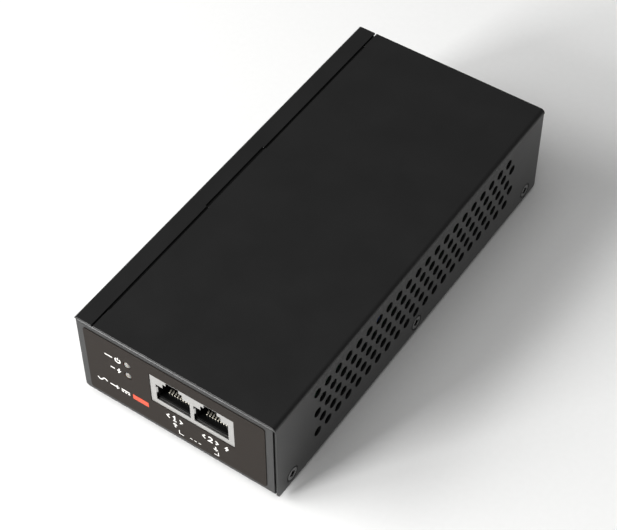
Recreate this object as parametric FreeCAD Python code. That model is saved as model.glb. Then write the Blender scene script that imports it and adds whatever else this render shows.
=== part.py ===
"""Mains PoE injector in a folded sheet-steel case, built as separate pieces.

Frame: +X right, -Y towards the socket end, +Z up; the origin is the bottom centre of the whole object.
Inside this file a place is (x, depth, height): depth runs back from the front panel's outer face, and
height runs up from the underside of the bottom sheet. All sizes are in millimetres.
"""
import FreeCAD
import Part
import math
import os

V = FreeCAD.Vector

# ---------------------------------------------------------------- case
CASE_WIDTH = 73.35
CASE_LENGTH = 154.5
CASE_HEIGHT = 34.6
SHEET = 0.8
BASE_BEND = 0.2             # inside bend radius of the base
COVER_BEND = 0.8            # inside bend radius of the cover
SHEET_CLEARANCE = 0.05      # between two sheets that lie on each other
PANEL_SIDE_GAP = 0.25       # front and rear panel to the cover's side
PANEL_WALL_GAP = 0.10       # front and rear panel to the left wall
PANEL_TOP_GAP = 0.10        # panel flange to the cover's top sheet
PANEL_FLANGE = 6.0
PANEL_CORNER = 0.4          # cut off a panel's top corner, clear of the cover's bend
STRIP_WIDTH = 6.5           # top strip folded over from the left wall
SEAM_GAP = 1.0              # strip to cover, along most of the seam
SEAM_END_GAP = 0.7
SEAM_END_LENGTH = 7.6
SEAM_STEP = SEAM_GAP - SEAM_END_GAP
HOOK_START = 57.6
HOOK_LENGTH = 30.9
HOOK_NOTCH = 0.5            # the strip is cut back this much over the hook
HOOK_REACH = 4.6
LAP_REACH = 2.2             # shelf under the strip along the rest of the seam
HOOK_RUN = 0.55             # width of the step down under the strip
HOOK_BEND = 0.1
SIDE_SETBACK = 0.5          # both sides' ends to the front and rear faces
SIDE_DROP = 1.3             # cover side's lower edge below the bottom sheet
SIDE_CORNER = 1.0
FOLD_LAND = 10.0            # length of bottom sheet drawn with each end fold
CORNER_RELIEF = 0.5

# ---------------------------------------------------------------- vents
VENT_DIAMETER = 3.55
VENT_PITCH = 5.53
VENT_ROW_PITCH = 4.84
VENT_COLUMNS = 21
VENT_ROWS = 5
VENT_FIRST_DEPTH = 21.2
VENT_TOP_ROW = 28.15

# ---------------------------------------------------------------- cover screws
SCREW_RADIUS = 1.5
SCREW_CLEARANCE = 0.05      # radial, screw to every hole it passes
SCREW_HEIGHT = 2.5
SCREW_INSET = 7.8           # end screws from the front and rear faces
SCREW_LENGTH = 5.0
CSK_RADIUS = 2.6
CSK_CLEARANCE = 0.3
TAB_WIDTH = 11.0
TAB_HEIGHT = 8.0
TAB_COLLAR = 1.2
TAB_COLLAR_RADIUS = 2.2
PAN_HEAD_RADIUS = 2.75
PAN_HEAD_HEIGHT = 1.9
RECESS_WIDTH = 0.75
RECESS_SPAN = 2.9

# ---------------------------------------------------------------- feet
FOOT_HEIGHT = 3.0
FOOT_RADIUS = 4.5
FOOT_X = 27.0
FOOT_INSET = 13.0

# ---------------------------------------------------------------- front label
LABEL_THICKNESS = 0.2
LABEL_LEFT = 3.0            # from the case's left face
LABEL_RIGHT = 3.75          # from the case's right face
LABEL_TOP = 3.04            # below the top face
LABEL_BOTTOM = 2.2
LABEL_CORNER = 1.0

# ---------------------------------------------------------------- boards
BOARD = 1.6
MAIN_STANDOFF = 4.0
MAIN_START = 36.0
MAIN_END = 150.0
MAIN_HALF_WIDTH = 31.5
DATA_TOP = 13.3
DATA_START = 1.8
DATA_END = 46.0
DATA_HALF_WIDTH = 30.0
STANDOFF_RADIUS = 2.7
STANDOFF_SPIGOT = 2.1
SPIGOT_CLEARANCE = 0.03
BOARD_HOLE = 1.7
BOARD_SCREW_LENGTH = 5.0
MAIN_FIX_X = 27.5
MAIN_FIX_DEPTHS = (41.0, 145.5)
DATA_FIX_X = 25.5
DATA_FIX_DEPTHS = (8.0, 32.0)
FILM = 0.4                  # insulating film under the main board
FILM_FLAP = 13.0
FILM_LEFT = -34.0
FILM_RIGHT = 30.4
FILM_INSET = 1.0            # film inside the main board's ends
FILM_HOLE_CLEARANCE = 0.4

# ---------------------------------------------------------------- socket block
PORT_PITCH = 13.97
PORT_CENTRE_X = 6.21        # middle of the two ports
SHIELD = 0.25
JACK_WIDTH = 30.75
JACK_HEIGHT = 13.15
JACK_DEPTH = 18.0
JACK_SEAT = 0.1             # socket block above the data board
WINDOW_CLEARANCE = 0.12     # panel and label window round the shield
PORT_WIDTH = 12.6
PORT_FLOOR = 15.55
PORT_SHOULDER = 22.8
STEP_WIDTH = 7.32
STEP_HEIGHT = 24.7
LATCH_WIDTH = 4.74
LATCH_HEIGHT = 26.2
CAVITY_WIDTH = 11.8
CAVITY_FLOOR = 16.45
CAVITY_DEPTH = 13.5
LATCH_DEPTH = 8.0
HOUSING_SETBACK = 1.0
CONTACTS = 8
CONTACT_PITCH = 1.016
CONTACT_WIDTH = 0.46
CONTACT_THICKNESS = 0.30
CONTACT_EYE_RADIUS = 0.30
CONTACT_EYE_DEPTH = 2.9
CONTACT_EYE_HEIGHT = 17.3
CONTACT_RISE = 31.0         # degrees above level at rest
CONTACT_LENGTH = 6.6
CONTACT_TIP = 1.0
CONTACT_GAP = 0.06          # eye to the lead that carries it
LEAD_THICKNESS = 0.35
LEAD_CLEARANCE = 0.05
LEAD_HEIGHT = 14.9
LEAD_ROWS = (9.5, 12.0)
LEAD_TAIL = 2.4             # below the data board's top face
SPRING_TAB_BULGE = 0.35
LIP_DROP = 1.3              # floor of the shield's fold below the port's floor

# ---------------------------------------------------------------- indicators
LED_X = -17.575
LED_HEIGHTS = (24.24, 19.16)
LED_RADIUS = 1.25
LED_LABEL_HOLE = 1.4
LED_PANEL_HOLE = 1.7
LED_PROUD = 0.15
LED_BORE_CLEARANCE = 0.05
LED_HOLDER_WIDTH = 4.8
LED_HOLDER_FRONT = 2.2
LED_HOLDER_DEPTH = 7.0

# ---------------------------------------------------------------- mains inlet
INLET_X = 0.0
INLET_HEIGHT = 17.3         # centre above the underside
INLET_FLANGE = (48.0, 22.5)
INLET_FLANGE_THICKNESS = 2.6
INLET_FLANGE_TAPER = (7.0, 4.5)     # each corner's run along x, and half the end's height
INLET_FLANGE_CORNER = 2.5
INLET_BODY = (27.0, 19.6)
INLET_CUTOUT_CLEARANCE = 0.25
INLET_BODY_DEPTH = 17.0     # behind the flange
INLET_BODY_CORNER = 0.6
INLET_CAVITY_CORNER = 0.8
INLET_WALL_CHAMFER = 0.3    # body's chamfer beyond the cavity's
INLET_CAVITY = (24.4, 16.8)
INLET_CAVITY_DEPTH = 16.0   # from the flange's outer face
INLET_CHAMFER = 5.0
INLET_FIX_PITCH = 40.0
BLADE_PITCH = 7.0
BLADE_OFFSET = 2.0          # line and neutral below centre, earth above
BLADE = (2.0, 4.0)
BLADE_FREE = 12.5
BLADE_CLEARANCE = 0.05
BLADE_TAIL = 7.0
BLADE_NOSE = 0.5
TAIL = (0.8, 4.0)
NUT_RADIUS = 3.15
NUT_HEIGHT = 2.4
SCREW_PROUD = 1.0           # screw ends beyond their nuts
EARTH_X = 29.0
EARTH_HEIGHT = 9.0
WIRE_RADIUS = 0.95

# ---------------------------------------------------------------- mains plug and wires
PLUG_X = -23.0
PLUG_DEPTH = 138.4
PLUG_PITCH = 3.96
MAINS_HEADER = (10.0, 7.6, 3.4)
MAINS_PLUG = (8.6, 6.2, 9.0)
LOCK_WALL = 0.6             # upright at the back of the header that latches the plug
LOCK_HEIGHT = 9.0
PLUG_SEAT = 4.0             # depth of a wire's hole in the plug
WIRE_LOOP = 26.0            # top of the mains wires' loops
WIRE_SPREAD = 1.6
LUG_THICKNESS = 0.8
LUG_RADIUS = 3.1
LUG_BARREL_RADIUS = 1.7
LUG_BARREL = (5.0, 10.0)    # barrel's ends above the earth screw
LUG_WALL = 0.9

# ---------------------------------------------------------------- link between the boards
LINK_PINS = 10
LINK_PITCH = 2.54
LINK_DEPTH = 42.0
LINK_PIN = 0.64
LINK_BODY_WIDTH = 2.5
LINK_TAILS = (1.0, 1.2)     # below the main board, above the data board
PIN_CLEARANCE = 0.08

# ---------------------------------------------------------------- mains filter, (x, depth) places
FUSE = (-26.5, 120.0)
FUSE_RADIUS = 4.2
FUSE_HEIGHT = 8.0
VARISTOR = (-15.0, 116.5)
VARISTOR_RADIUS = 5.5
VARISTOR_THICKNESS = 4.2
THERMISTOR = (-1.5, 116.5)
THERMISTOR_RADIUS = 4.5
THERMISTOR_THICKNESS = 4.0
DISC_LIFT = 2.0             # a disc's lower edge above the board
DISC_LEAD_RADIUS = 0.35
FILM_CAPACITOR = (16.0, 116.7)
FILM_CAPACITOR_SIZE = (18.0, 8.5, 15.0)
Y_CAPACITORS = ((18.5, 65.0), (26.5, 65.0))
Y_CAPACITOR_RADIUS = 3.6
Y_CAPACITOR_THICKNESS = 3.2
CHOKE = (-18.0, 103.0)
CHOKE_RADIUS = 8.6
CHOKE_HOLE = 5.0
CHOKE_WIDTH = 7.0
CHOKE_WIRE = 1.3
CHOKE_SEAT = 0.15           # ring above its base
CHOKE_BASE = (18.0, 12.0, 1.8)
WINDING_CLEARANCE = 0.1
WINDING_SLOPE = 1.4         # a winding ends where height is this many times width from the ring's centre
BRIDGE = (14.0, 106.0)
BRIDGE_SIZE = (20.0, 4.0, 14.0)
BRIDGE_LIFT = 3.0
BRIDGE_LEADS = 4
BRIDGE_LEAD_PITCH = 4.66
BRIDGE_LEAD_RADIUS = 0.5

# ---------------------------------------------------------------- power stage
BULK_CAPACITOR = (20.0, 90.5)
BULK_RADIUS = 9.0
BULK_HEIGHT = 25.0
OUTPUT_CAPACITORS = ((7.5, 56.0), (20.0, 53.5))
OUTPUT_RADIUS = 5.0
OUTPUT_HEIGHT = 20.0
CAN_GROOVE = (2.4, 0.6, 0.25)       # height above the board, tool radius, tool centre outside the can
HEATSINK = 1.6
HEATSINK_BEND = 0.4
HEATSINK_HEIGHT = 24.0
PRIMARY_SINK_X = -29.0
PRIMARY_SINK = (70.0, 97.0)
PRIMARY_FLANGE = 0.8
SECONDARY_SINK_DEPTH = 63.0
SECONDARY_SINK = (-30.0, 1.0)
SECONDARY_FLANGE = 6.0
PAD = 0.3                   # insulating pad
PAD_MARGIN = 0.5
TRANSISTOR_DEPTH = 84.0
RECTIFIER_X = -14.0
PACKAGE_LIFT = 5.0
PACKAGE_TAB = (10.0, 1.3, 15.4)     # width, thickness, height
PACKAGE_BODY = (4.4, 9.2)           # face of the body off the heatsink, height
PACKAGE_HOLE = 12.0                 # screw above the package's foot
PACKAGE_LEAD = 0.8
TRANSFORMER = (-8.0, 82.0)
CORE_SIZE = (27.0, 19.0, 20.0)
CORE_LEG = 5.0
CORE_LIMB_RADIUS = 5.5
CORE_WINDOW_CLEARANCE = 0.6
CORE_LIFT = 3.0
BOBBIN_WALL = 0.8
BOBBIN_RADIUS = 10.2
BOBBIN_CLEARANCE = 0.15
BOBBIN_RAIL = (24.0, 4.5, 8.5)
BOBBIN_PINS = 6
BOBBIN_PIN_PITCH = 4.0
BOBBIN_STAND = 0.5
WINDING_RADIUS = 9.6
DRUM = (-22.0, 53.0)
DRUM_RADIUS = 6.0
DRUM_WAIST = 3.0
DRUM_CHEEK = 1.6
DRUM_HEIGHT = 14.0
DRUM_WINDING = 5.4
OPTOCOUPLERS = ((13.0, 76.5), (20.0, 76.5))
OPTOCOUPLER_SIZE = (4.6, 6.4, 3.4)
LAN_TRANSFORMERS = ((-4.5, 28.5), (13.5, 28.5))
LAN_TRANSFORMER_SIZE = (17.0, 9.0, 5.6)
CONTROLLER = (-16.0, 20.0)
CONTROLLER_SIZE = (10.0, 6.0, 1.6)
CHIP_LIFT = 0.3
CHIP_LEG = (0.4, 0.9)
CHIP_PITCH = 1.27

# ---------------------------------------------------------------- worked-out sizes
HALF = CASE_WIDTH / 2
BEND_OUT = BASE_BEND + SHEET
FRONT_OVERHANG = LABEL_THICKNESS + LED_PROUD
REAR_OVERHANG = INLET_FLANGE_THICKNESS + PAN_HEAD_HEIGHT
FRONT_Y = -(FRONT_OVERHANG + CASE_LENGTH + REAR_OVERHANG) / 2 + FRONT_OVERHANG
BOTTOM_Z = FOOT_HEIGHT
CEILING = CASE_HEIGHT - SHEET
TAB_FACE = HALF - SHEET - SHEET_CLEARANCE
PANEL_RIGHT = HALF - SHEET - PANEL_SIDE_GAP
PANEL_LEFT = -HALF + SHEET + PANEL_WALL_GAP
PANEL_TOP = CEILING - PANEL_TOP_GAP
STRIP_EDGE = -HALF + STRIP_WIDTH
COVER_EDGE = STRIP_EDGE + SEAM_GAP
MAIN_TOP = SHEET + MAIN_STANDOFF + BOARD
JACK_BOTTOM = DATA_TOP + JACK_SEAT
JACK_TOP = JACK_BOTTOM + JACK_HEIGHT
PORT_CENTRES = (PORT_CENTRE_X - PORT_PITCH / 2, PORT_CENTRE_X + PORT_PITCH / 2)
COVER_SCREW_DEPTHS = (SCREW_INSET, CASE_LENGTH / 2, CASE_LENGTH - SCREW_INSET)
REAR_FACE = CASE_LENGTH
REAR_INSIDE = CASE_LENGTH - SHEET
HOOK_END = HOOK_START + HOOK_LENGTH
INLET_FACE = CASE_LENGTH + INLET_FLANGE_THICKNESS
INLET_CAVITY_END = INLET_FACE - INLET_CAVITY_DEPTH
INLET_BODY_END = CASE_LENGTH - INLET_BODY_DEPTH
TAIL_END = INLET_BODY_END - BLADE_TAIL
PLUG_TOP = MAIN_TOP + MAINS_HEADER[2] + MAINS_PLUG[2]
EARTH_WIRE_DEPTH = REAR_INSIDE - LUG_THICKNESS - LUG_WALL
PACKAGE_SCREW_HEIGHT = MAIN_TOP + PACKAGE_LIFT + PACKAGE_HOLE
PACKAGE_SCREW_LENGTH = PAD + PACKAGE_TAB[1] + HEATSINK + 0.6


# ================================================================ drawing helpers
def at(x, depth, height):
    """A point in the row frame from a width, a depth and a height."""
    return V(x, FRONT_Y + depth, BOTTOM_Z + height)


def lift(axis, u, v, w):
    """A point from outline coordinates (u, v) and a distance w along the extrusion axis."""
    if axis == "x":
        return at(w, u, v)
    if axis == "depth":
        return at(u, w, v)
    return at(u, v, w)


def along(axis, length):
    directions = {"x": V(length, 0, 0), "depth": V(0, length, 0), "height": V(0, 0, length)}
    return directions[axis]


def rounded_face(points, radii, axis, w):
    """A face whose outline has an arc of the given radius at each corner, 0 for a sharp one."""
    count = len(points)
    edges = []
    joints = []
    for i in range(count):
        px, py = points[i]
        ax, ay = points[i - 1][0] - px, points[i - 1][1] - py
        bx, by = points[(i + 1) % count][0] - px, points[(i + 1) % count][1] - py
        la, lb = math.hypot(ax, ay), math.hypot(bx, by)
        ax, ay, bx, by = ax / la, ay / la, bx / lb, by / lb
        half = math.acos(max(-1.0, min(1.0, ax * bx + ay * by))) / 2
        radius = radii[i]
        if radius <= 0 or half > math.pi / 2 - 1e-6:
            joints.append(((px, py), (px, py), None))
            continue
        run = radius / math.tan(half)
        reach = radius / math.sin(half) - radius
        mx, my = ax + bx, ay + by
        lm = math.hypot(mx, my)
        joints.append((
            (px + ax * run, py + ay * run),
            (px + bx * run, py + by * run),
            (px + mx / lm * reach, py + my / lm * reach),
        ))
    for i in range(count):
        start, end, middle = joints[i]
        if middle is not None:
            edges.append(Part.Arc(lift(axis, *start, w), lift(axis, *middle, w),
                                  lift(axis, *end, w)).toShape())
        following = joints[(i + 1) % count][0]
        if math.dist(end, following) > 1e-6:
            edges.append(Part.LineSegment(lift(axis, *end, w), lift(axis, *following, w)).toShape())
    return Part.Face(Part.Wire(edges))


def slab(points, axis, low, high, radius=0.0):
    """An outline extruded along one axis; radius is one value or one per corner."""
    radii = radius if isinstance(radius, (list, tuple)) else [radius] * len(points)
    return rounded_face(points, radii, axis, low).extrude(along(axis, high - low))


def rectangle(u, v):
    return [(u[0], v[0]), (u[1], v[0]), (u[1], v[1]), (u[0], v[1])]


def block(x, depth, height, radius=0.0, axis="height"):
    """A box from three (low, high) pairs, with rounded edges along one axis."""
    pairs = {"x": (depth, height, x), "depth": (x, height, depth), "height": (x, depth, height)}
    u, v, w = pairs[axis]
    return slab(rectangle(u, v), axis, w[0], w[1], radius)


def rod(axis, centre, radius, low, high):
    """A cylinder along one axis; centre is its place in the outline plane."""
    return Part.makeCylinder(radius, high - low, lift(axis, centre[0], centre[1], low), along(axis, 1))


def cone(axis, centre, low_radius, high_radius, low, high):
    return Part.makeCone(low_radius, high_radius, high - low,
                         lift(axis, centre[0], centre[1], low), along(axis, 1))


def hexagon(axis, centre, radius, low, high):
    corners = [(centre[0] + radius * math.cos(math.radians(60 * k)),
                centre[1] + radius * math.sin(math.radians(60 * k))) for k in range(6)]
    return slab(corners, axis, low, high)


def join(shapes):
    """One solid from touching shapes."""
    result = shapes[0]
    if len(shapes) > 1:
        result = shapes[0].fuse(shapes[1:])
    return result.removeSplitter()


def group(shapes):
    """Separate solids that share a node."""
    return Part.makeCompound(shapes)


def folded_sheet(path, thickness, bend, axis, low, high):
    """A folded sheet: path is its outer line, with the metal on the left of the line's direction."""
    inner = []
    normals = []
    for (x0, y0), (x1, y1) in zip(path, path[1:]):
        length = math.hypot(x1 - x0, y1 - y0)
        normals.append((-(y1 - y0) / length, (x1 - x0) / length))
    outer_radii = [0.0]
    inner_radii = [0.0]
    inner.append((path[0][0] + normals[0][0] * thickness, path[0][1] + normals[0][1] * thickness))
    for i in range(1, len(path) - 1):
        (ax, ay), (bx, by) = normals[i - 1], normals[i]
        share = thickness / (1 + ax * bx + ay * by)
        inner.append((path[i][0] + (ax + bx) * share, path[i][1] + (ay + by) * share))
        turns_inward = ax * by - ay * bx > 0
        outer_radii.append(bend + thickness if turns_inward else bend)
        inner_radii.append(bend if turns_inward else bend + thickness)
    inner.append((path[-1][0] + normals[-1][0] * thickness, path[-1][1] + normals[-1][1] * thickness))
    outer_radii.append(0.0)
    inner_radii.append(0.0)
    outline = list(path) + inner[::-1]
    return slab(outline, axis, low, high, outer_radii + inner_radii[::-1])


def cross_recess(axis, centre, face, inward, depth):
    """The cross-shaped drive recess cut into a screw head."""
    arms = []
    low, high = sorted((face - inward * 0.5, face + inward * depth))
    for wide, tall in ((RECESS_SPAN, RECESS_WIDTH), (RECESS_WIDTH, RECESS_SPAN)):
        u = (centre[0] - wide / 2, centre[0] + wide / 2)
        v = (centre[1] - tall / 2, centre[1] + tall / 2)
        arms.append(slab(rectangle(u, v), axis, low, high))
    return join(arms)


def pan_screw(axis, centre, seat, inward, length):
    """A cross-recess pan-head screw whose head sits on `seat` and whose shank runs inward."""
    shank = rod(axis, centre, SCREW_RADIUS, *sorted((seat, seat + inward * length)))
    head_top = seat - inward * PAN_HEAD_HEIGHT
    head = rod(axis, centre, PAN_HEAD_RADIUS, *sorted((seat, head_top)))
    rim = [e for e in head.Edges if len(e.Vertexes) == 1
           and abs(e.CenterOfMass.distanceToPoint(lift(axis, centre[0], centre[1], head_top))) < 1e-6]
    head = head.makeFillet(0.9, rim)
    return join([head, shank]).cut(cross_recess(axis, centre, head_top, inward, 1.2))


def vent_holes(low, high):
    """The staggered field of round vents, as cutters that run along x."""
    cutters = []
    for row in range(VENT_ROWS):
        shift = VENT_PITCH / 2 if row % 2 else 0.0
        for column in range(VENT_COLUMNS):
            depth = VENT_FIRST_DEPTH + shift + column * VENT_PITCH
            centre = (depth, VENT_TOP_ROW - row * VENT_ROW_PITCH)
            cutters.append(rod("x", centre, VENT_DIAMETER / 2, low, high))
    return group(cutters)


def leads(places, radius, low, high):
    return [rod("height", place, radius, low, high) for place in places]


# ================================================================ sheet-metal case
def window(low, high):
    """Cutter for the socket block's window."""
    half = JACK_WIDTH / 2 + WINDOW_CLEARANCE
    x = (PORT_CENTRE_X - half, PORT_CENTRE_X + half)
    return block(x, (low, high), (JACK_BOTTOM - WINDOW_CLEARANCE, JACK_TOP + WINDOW_CLEARANCE))


def standoff_places():
    main = [(x, d) for x in (-MAIN_FIX_X, MAIN_FIX_X) for d in MAIN_FIX_DEPTHS]
    data = [(x, d) for x in (-DATA_FIX_X, DATA_FIX_X) for d in DATA_FIX_DEPTHS]
    return main, data


def inlet_fix_places():
    return [(INLET_X + side * INLET_FIX_PITCH / 2, INLET_HEIGHT) for side in (-1, 1)]


def base_chassis():
    wall = folded_sheet(
        [(STRIP_EDGE, CASE_HEIGHT), (-HALF, CASE_HEIGHT), (-HALF, 0.0), (TAB_FACE - BEND_OUT, 0.0)],
        SHEET, BASE_BEND, "depth", 0.0, CASE_LENGTH)
    fold_left = -HALF + BEND_OUT + CORNER_RELIEF
    beyond = CASE_WIDTH
    wall = wall.cut(block((fold_left - CORNER_RELIEF, beyond), (-1, BEND_OUT), (-1, BEND_OUT)))
    wall = wall.cut(block((fold_left - CORNER_RELIEF, beyond),
                          (CASE_LENGTH - BEND_OUT, CASE_LENGTH + 1), (-1, BEND_OUT)))
    for end in ((-1, SIDE_SETBACK), (CASE_LENGTH - SIDE_SETBACK, CASE_LENGTH + 1)):
        wall = wall.cut(block((-beyond, fold_left), end, (-1, CASE_HEIGHT - BEND_OUT)))
    front = folded_sheet(
        [(PANEL_FLANGE, PANEL_TOP), (0.0, PANEL_TOP), (0.0, 0.0), (FOLD_LAND, 0.0)],
        SHEET, BASE_BEND, "x", PANEL_LEFT, PANEL_RIGHT)
    rear = folded_sheet(
        [(CASE_LENGTH - FOLD_LAND, 0.0), (CASE_LENGTH, 0.0), (CASE_LENGTH, PANEL_TOP),
         (CASE_LENGTH - PANEL_FLANGE, PANEL_TOP)],
        SHEET, BASE_BEND, "x", PANEL_LEFT, PANEL_RIGHT)
    land_right = (TAB_FACE - BEND_OUT, beyond)
    land_left = (-beyond, fold_left)
    for low, high in ((-1, FOLD_LAND + 1), (CASE_LENGTH - FOLD_LAND - 1, CASE_LENGTH + 1)):
        front = front.cut(block(land_left, (low, high), (-1, BEND_OUT + CORNER_RELIEF)))
        rear = rear.cut(block(land_left, (low, high), (-1, BEND_OUT + CORNER_RELIEF)))
    front = front.cut(block(land_right, (BEND_OUT, FOLD_LAND + 1), (-1, SHEET + 0.01)))
    rear = rear.cut(block(land_right, (CASE_LENGTH - FOLD_LAND - 1, CASE_LENGTH - BEND_OUT),
                          (-1, SHEET + 0.01)))
    tabs = []
    for depth in COVER_SCREW_DEPTHS:
        reach = (depth - TAB_WIDTH / 2, depth + TAB_WIDTH / 2)
        tabs.append(folded_sheet(
            [(TAB_FACE - FOLD_LAND, 0.0), (TAB_FACE, 0.0), (TAB_FACE, TAB_HEIGHT)],
            SHEET, BASE_BEND, "depth", *reach))
        tabs.append(rod("x", (depth, SCREW_HEIGHT), TAB_COLLAR_RADIUS,
                        TAB_FACE - SHEET - TAB_COLLAR, TAB_FACE - SHEET))
    base = join([wall, front, rear] + tabs)

    cutters = [window(-1, SHEET + 1)]
    low, high = PANEL_TOP - PANEL_CORNER, PANEL_TOP + PANEL_CORNER
    corner = [(PANEL_RIGHT - PANEL_CORNER, PANEL_TOP), (PANEL_RIGHT, low), (beyond, low),
              (beyond, high), (PANEL_RIGHT - PANEL_CORNER, high)]
    cutters.append(slab(corner, "depth", -1, CASE_LENGTH + 1))
    cutters.append(block((STRIP_EDGE - HOOK_NOTCH, STRIP_EDGE + 1), (HOOK_START, HOOK_END),
                         (CEILING - 1, CASE_HEIGHT + 1)))
    for height in LED_HEIGHTS:
        cutters.append(rod("depth", (LED_X, height), LED_PANEL_HOLE, -1, SHEET + 1))
    for depth in COVER_SCREW_DEPTHS:
        cutters.append(rod("x", (depth, SCREW_HEIGHT), SCREW_RADIUS + SCREW_CLEARANCE,
                           TAB_FACE - SHEET - TAB_COLLAR - 1, HALF))
    main, data = standoff_places()
    for place in main + data:
        cutters.append(rod("height", place, STANDOFF_SPIGOT + SPIGOT_CLEARANCE, -1, SHEET + 1))
    half_x = INLET_BODY[0] / 2 + INLET_CUTOUT_CLEARANCE
    half_z = INLET_BODY[1] / 2 + INLET_CUTOUT_CLEARANCE
    cutters.append(block((INLET_X - half_x, INLET_X + half_x), (REAR_INSIDE - 1, REAR_FACE + 1),
                         (INLET_HEIGHT - half_z, INLET_HEIGHT + half_z), INLET_BODY_CORNER, "depth"))
    for place in inlet_fix_places() + [(EARTH_X, EARTH_HEIGHT)]:
        cutters.append(rod("depth", place, SCREW_RADIUS + SCREW_CLEARANCE, REAR_INSIDE - 1, REAR_FACE + 1))
    cutters.append(vent_holes(-HALF - 1, -HALF + SHEET + 1))
    return base.cut(cutters)


def top_cover():
    cover = folded_sheet([(HALF, -SIDE_DROP), (HALF, CASE_HEIGHT), (COVER_EDGE, CASE_HEIGHT)],
                         SHEET, COVER_BEND, "depth", 0.0, CASE_LENGTH)
    bend = COVER_BEND + SHEET
    side = [(SIDE_SETBACK, -SIDE_DROP), (CASE_LENGTH - SIDE_SETBACK, -SIDE_DROP),
            (CASE_LENGTH - SIDE_SETBACK, CASE_HEIGHT - bend),
            (SIDE_SETBACK, CASE_HEIGHT - bend)]
    blank = slab(rectangle((-1, CASE_LENGTH + 1), (-SIDE_DROP - 1, CASE_HEIGHT - bend)), "x",
                 HALF - SHEET - 1, HALF + 1)
    trimmed = slab(side, "x", HALF - SHEET - 2, HALF + 2, [SIDE_CORNER, SIDE_CORNER, 0.0, 0.0])
    cover = cover.cut(blank.cut(trimmed))
    ends = [(0.0, SEAM_END_LENGTH), (CASE_LENGTH - SEAM_END_LENGTH, CASE_LENGTH), (HOOK_START, HOOK_END)]
    pieces = [cover]
    for reach in ends:
        pieces.append(block((COVER_EDGE - SEAM_STEP, COVER_EDGE + 1), reach, (CEILING, CASE_HEIGHT)))
    shelf = CEILING - SHEET_CLEARANCE
    laps = [(COVER_EDGE - SEAM_STEP, HOOK_REACH, HOOK_START, HOOK_END),
            (COVER_EDGE, LAP_REACH, SEAM_END_LENGTH, HOOK_START),
            (COVER_EDGE, LAP_REACH, HOOK_END, CASE_LENGTH - SEAM_END_LENGTH)]
    for lip, reach, start, end in laps:
        pieces.append(folded_sheet(
            [(lip + 2, CASE_HEIGHT), (lip, CASE_HEIGHT), (lip - HOOK_RUN, shelf),
             (lip - HOOK_RUN - reach, shelf)],
            SHEET, HOOK_BEND, "depth", start, end))
    cover = join(pieces)
    cutters = [vent_holes(HALF - SHEET - 1, HALF + 1)]
    for depth in COVER_SCREW_DEPTHS:
        centre = (depth, SCREW_HEIGHT)
        outer = CSK_RADIUS + CSK_CLEARANCE
        cutters.append(cone("x", centre, outer - SHEET, outer, HALF - SHEET, HALF))
        cutters.append(rod("x", centre, outer - SHEET, HALF - SHEET - 1, HALF - SHEET))
    return cover.cut(cutters)


def cover_screws():
    screws = []
    for depth in COVER_SCREW_DEPTHS:
        centre = (depth, SCREW_HEIGHT)
        face = HALF - 0.03
        under = face - SHEET
        head = cone("x", centre, CSK_RADIUS - SHEET, CSK_RADIUS, under, face)
        shank = rod("x", centre, SCREW_RADIUS, face - SCREW_LENGTH, under)
        screws.append(join([head, shank]).cut(cross_recess("x", centre, face, -1, 1.3)))
    return group(screws)


def rubber_feet():
    feet = []
    for x in (-FOOT_X, FOOT_X):
        for depth in (FOOT_INSET, CASE_LENGTH - FOOT_INSET):
            foot = rod("height", (x, depth), FOOT_RADIUS, -FOOT_HEIGHT, 0.0)
            rim = [e for e in foot.Edges if len(e.Vertexes) == 1 and e.CenterOfMass.z < 1e-6]
            feet.append(foot.makeFillet(0.8, rim))
    return group(feet)


def front_label():
    x = (-HALF + LABEL_LEFT, HALF - LABEL_RIGHT)
    label = block(x, (-LABEL_THICKNESS, 0.0), (LABEL_BOTTOM, CASE_HEIGHT - LABEL_TOP),
                  LABEL_CORNER, "depth")
    holes = [window(-1, 1)]
    for height in LED_HEIGHTS:
        holes.append(rod("depth", (LED_X, height), LED_LABEL_HOLE, -1, 1))
    return label.cut(holes)


def insulating_film():
    low = SHEET + SHEET_CLEARANCE
    film = folded_sheet([(FILM_LEFT, FILM_FLAP), (FILM_LEFT, low), (FILM_RIGHT, low)],
                        FILM, BASE_BEND, "depth", MAIN_START + FILM_INSET, MAIN_END - FILM_INSET)
    main, data = standoff_places()
    return film.cut(leads(main, STANDOFF_RADIUS + FILM_HOLE_CLEARANCE, 0, MAIN_TOP))


# ================================================================ boards and what carries them
def standoffs(places, height):
    pieces = []
    for place in places:
        body = rod("height", place, STANDOFF_RADIUS, SHEET, SHEET + height)
        spigot = rod("height", place, STANDOFF_SPIGOT, 0.0, SHEET)
        bore = rod("height", place, SCREW_RADIUS + SCREW_CLEARANCE, -1, SHEET + height + 1)
        pieces.append(join([body, spigot]).cut(bore))
    return group(pieces)


def main_standoffs():
    return standoffs(standoff_places()[0], MAIN_STANDOFF)


def data_standoffs():
    return standoffs(standoff_places()[1], DATA_TOP - BOARD - SHEET)


def board_screws():
    main, data = standoff_places()
    screws = [pan_screw("height", place, MAIN_TOP, -1, BOARD_SCREW_LENGTH) for place in main]
    screws += [pan_screw("height", place, DATA_TOP, -1, BOARD_SCREW_LENGTH) for place in data]
    return group(screws)


def link_places():
    first = -LINK_PITCH * (LINK_PINS - 1) / 2
    return [(first + k * LINK_PITCH, LINK_DEPTH) for k in range(LINK_PINS)]


def square_pins(places, size, low, high):
    half = size / 2
    return [block((x - half, x + half), (d - half, d + half), (low, high)) for x, d in places]


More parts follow.
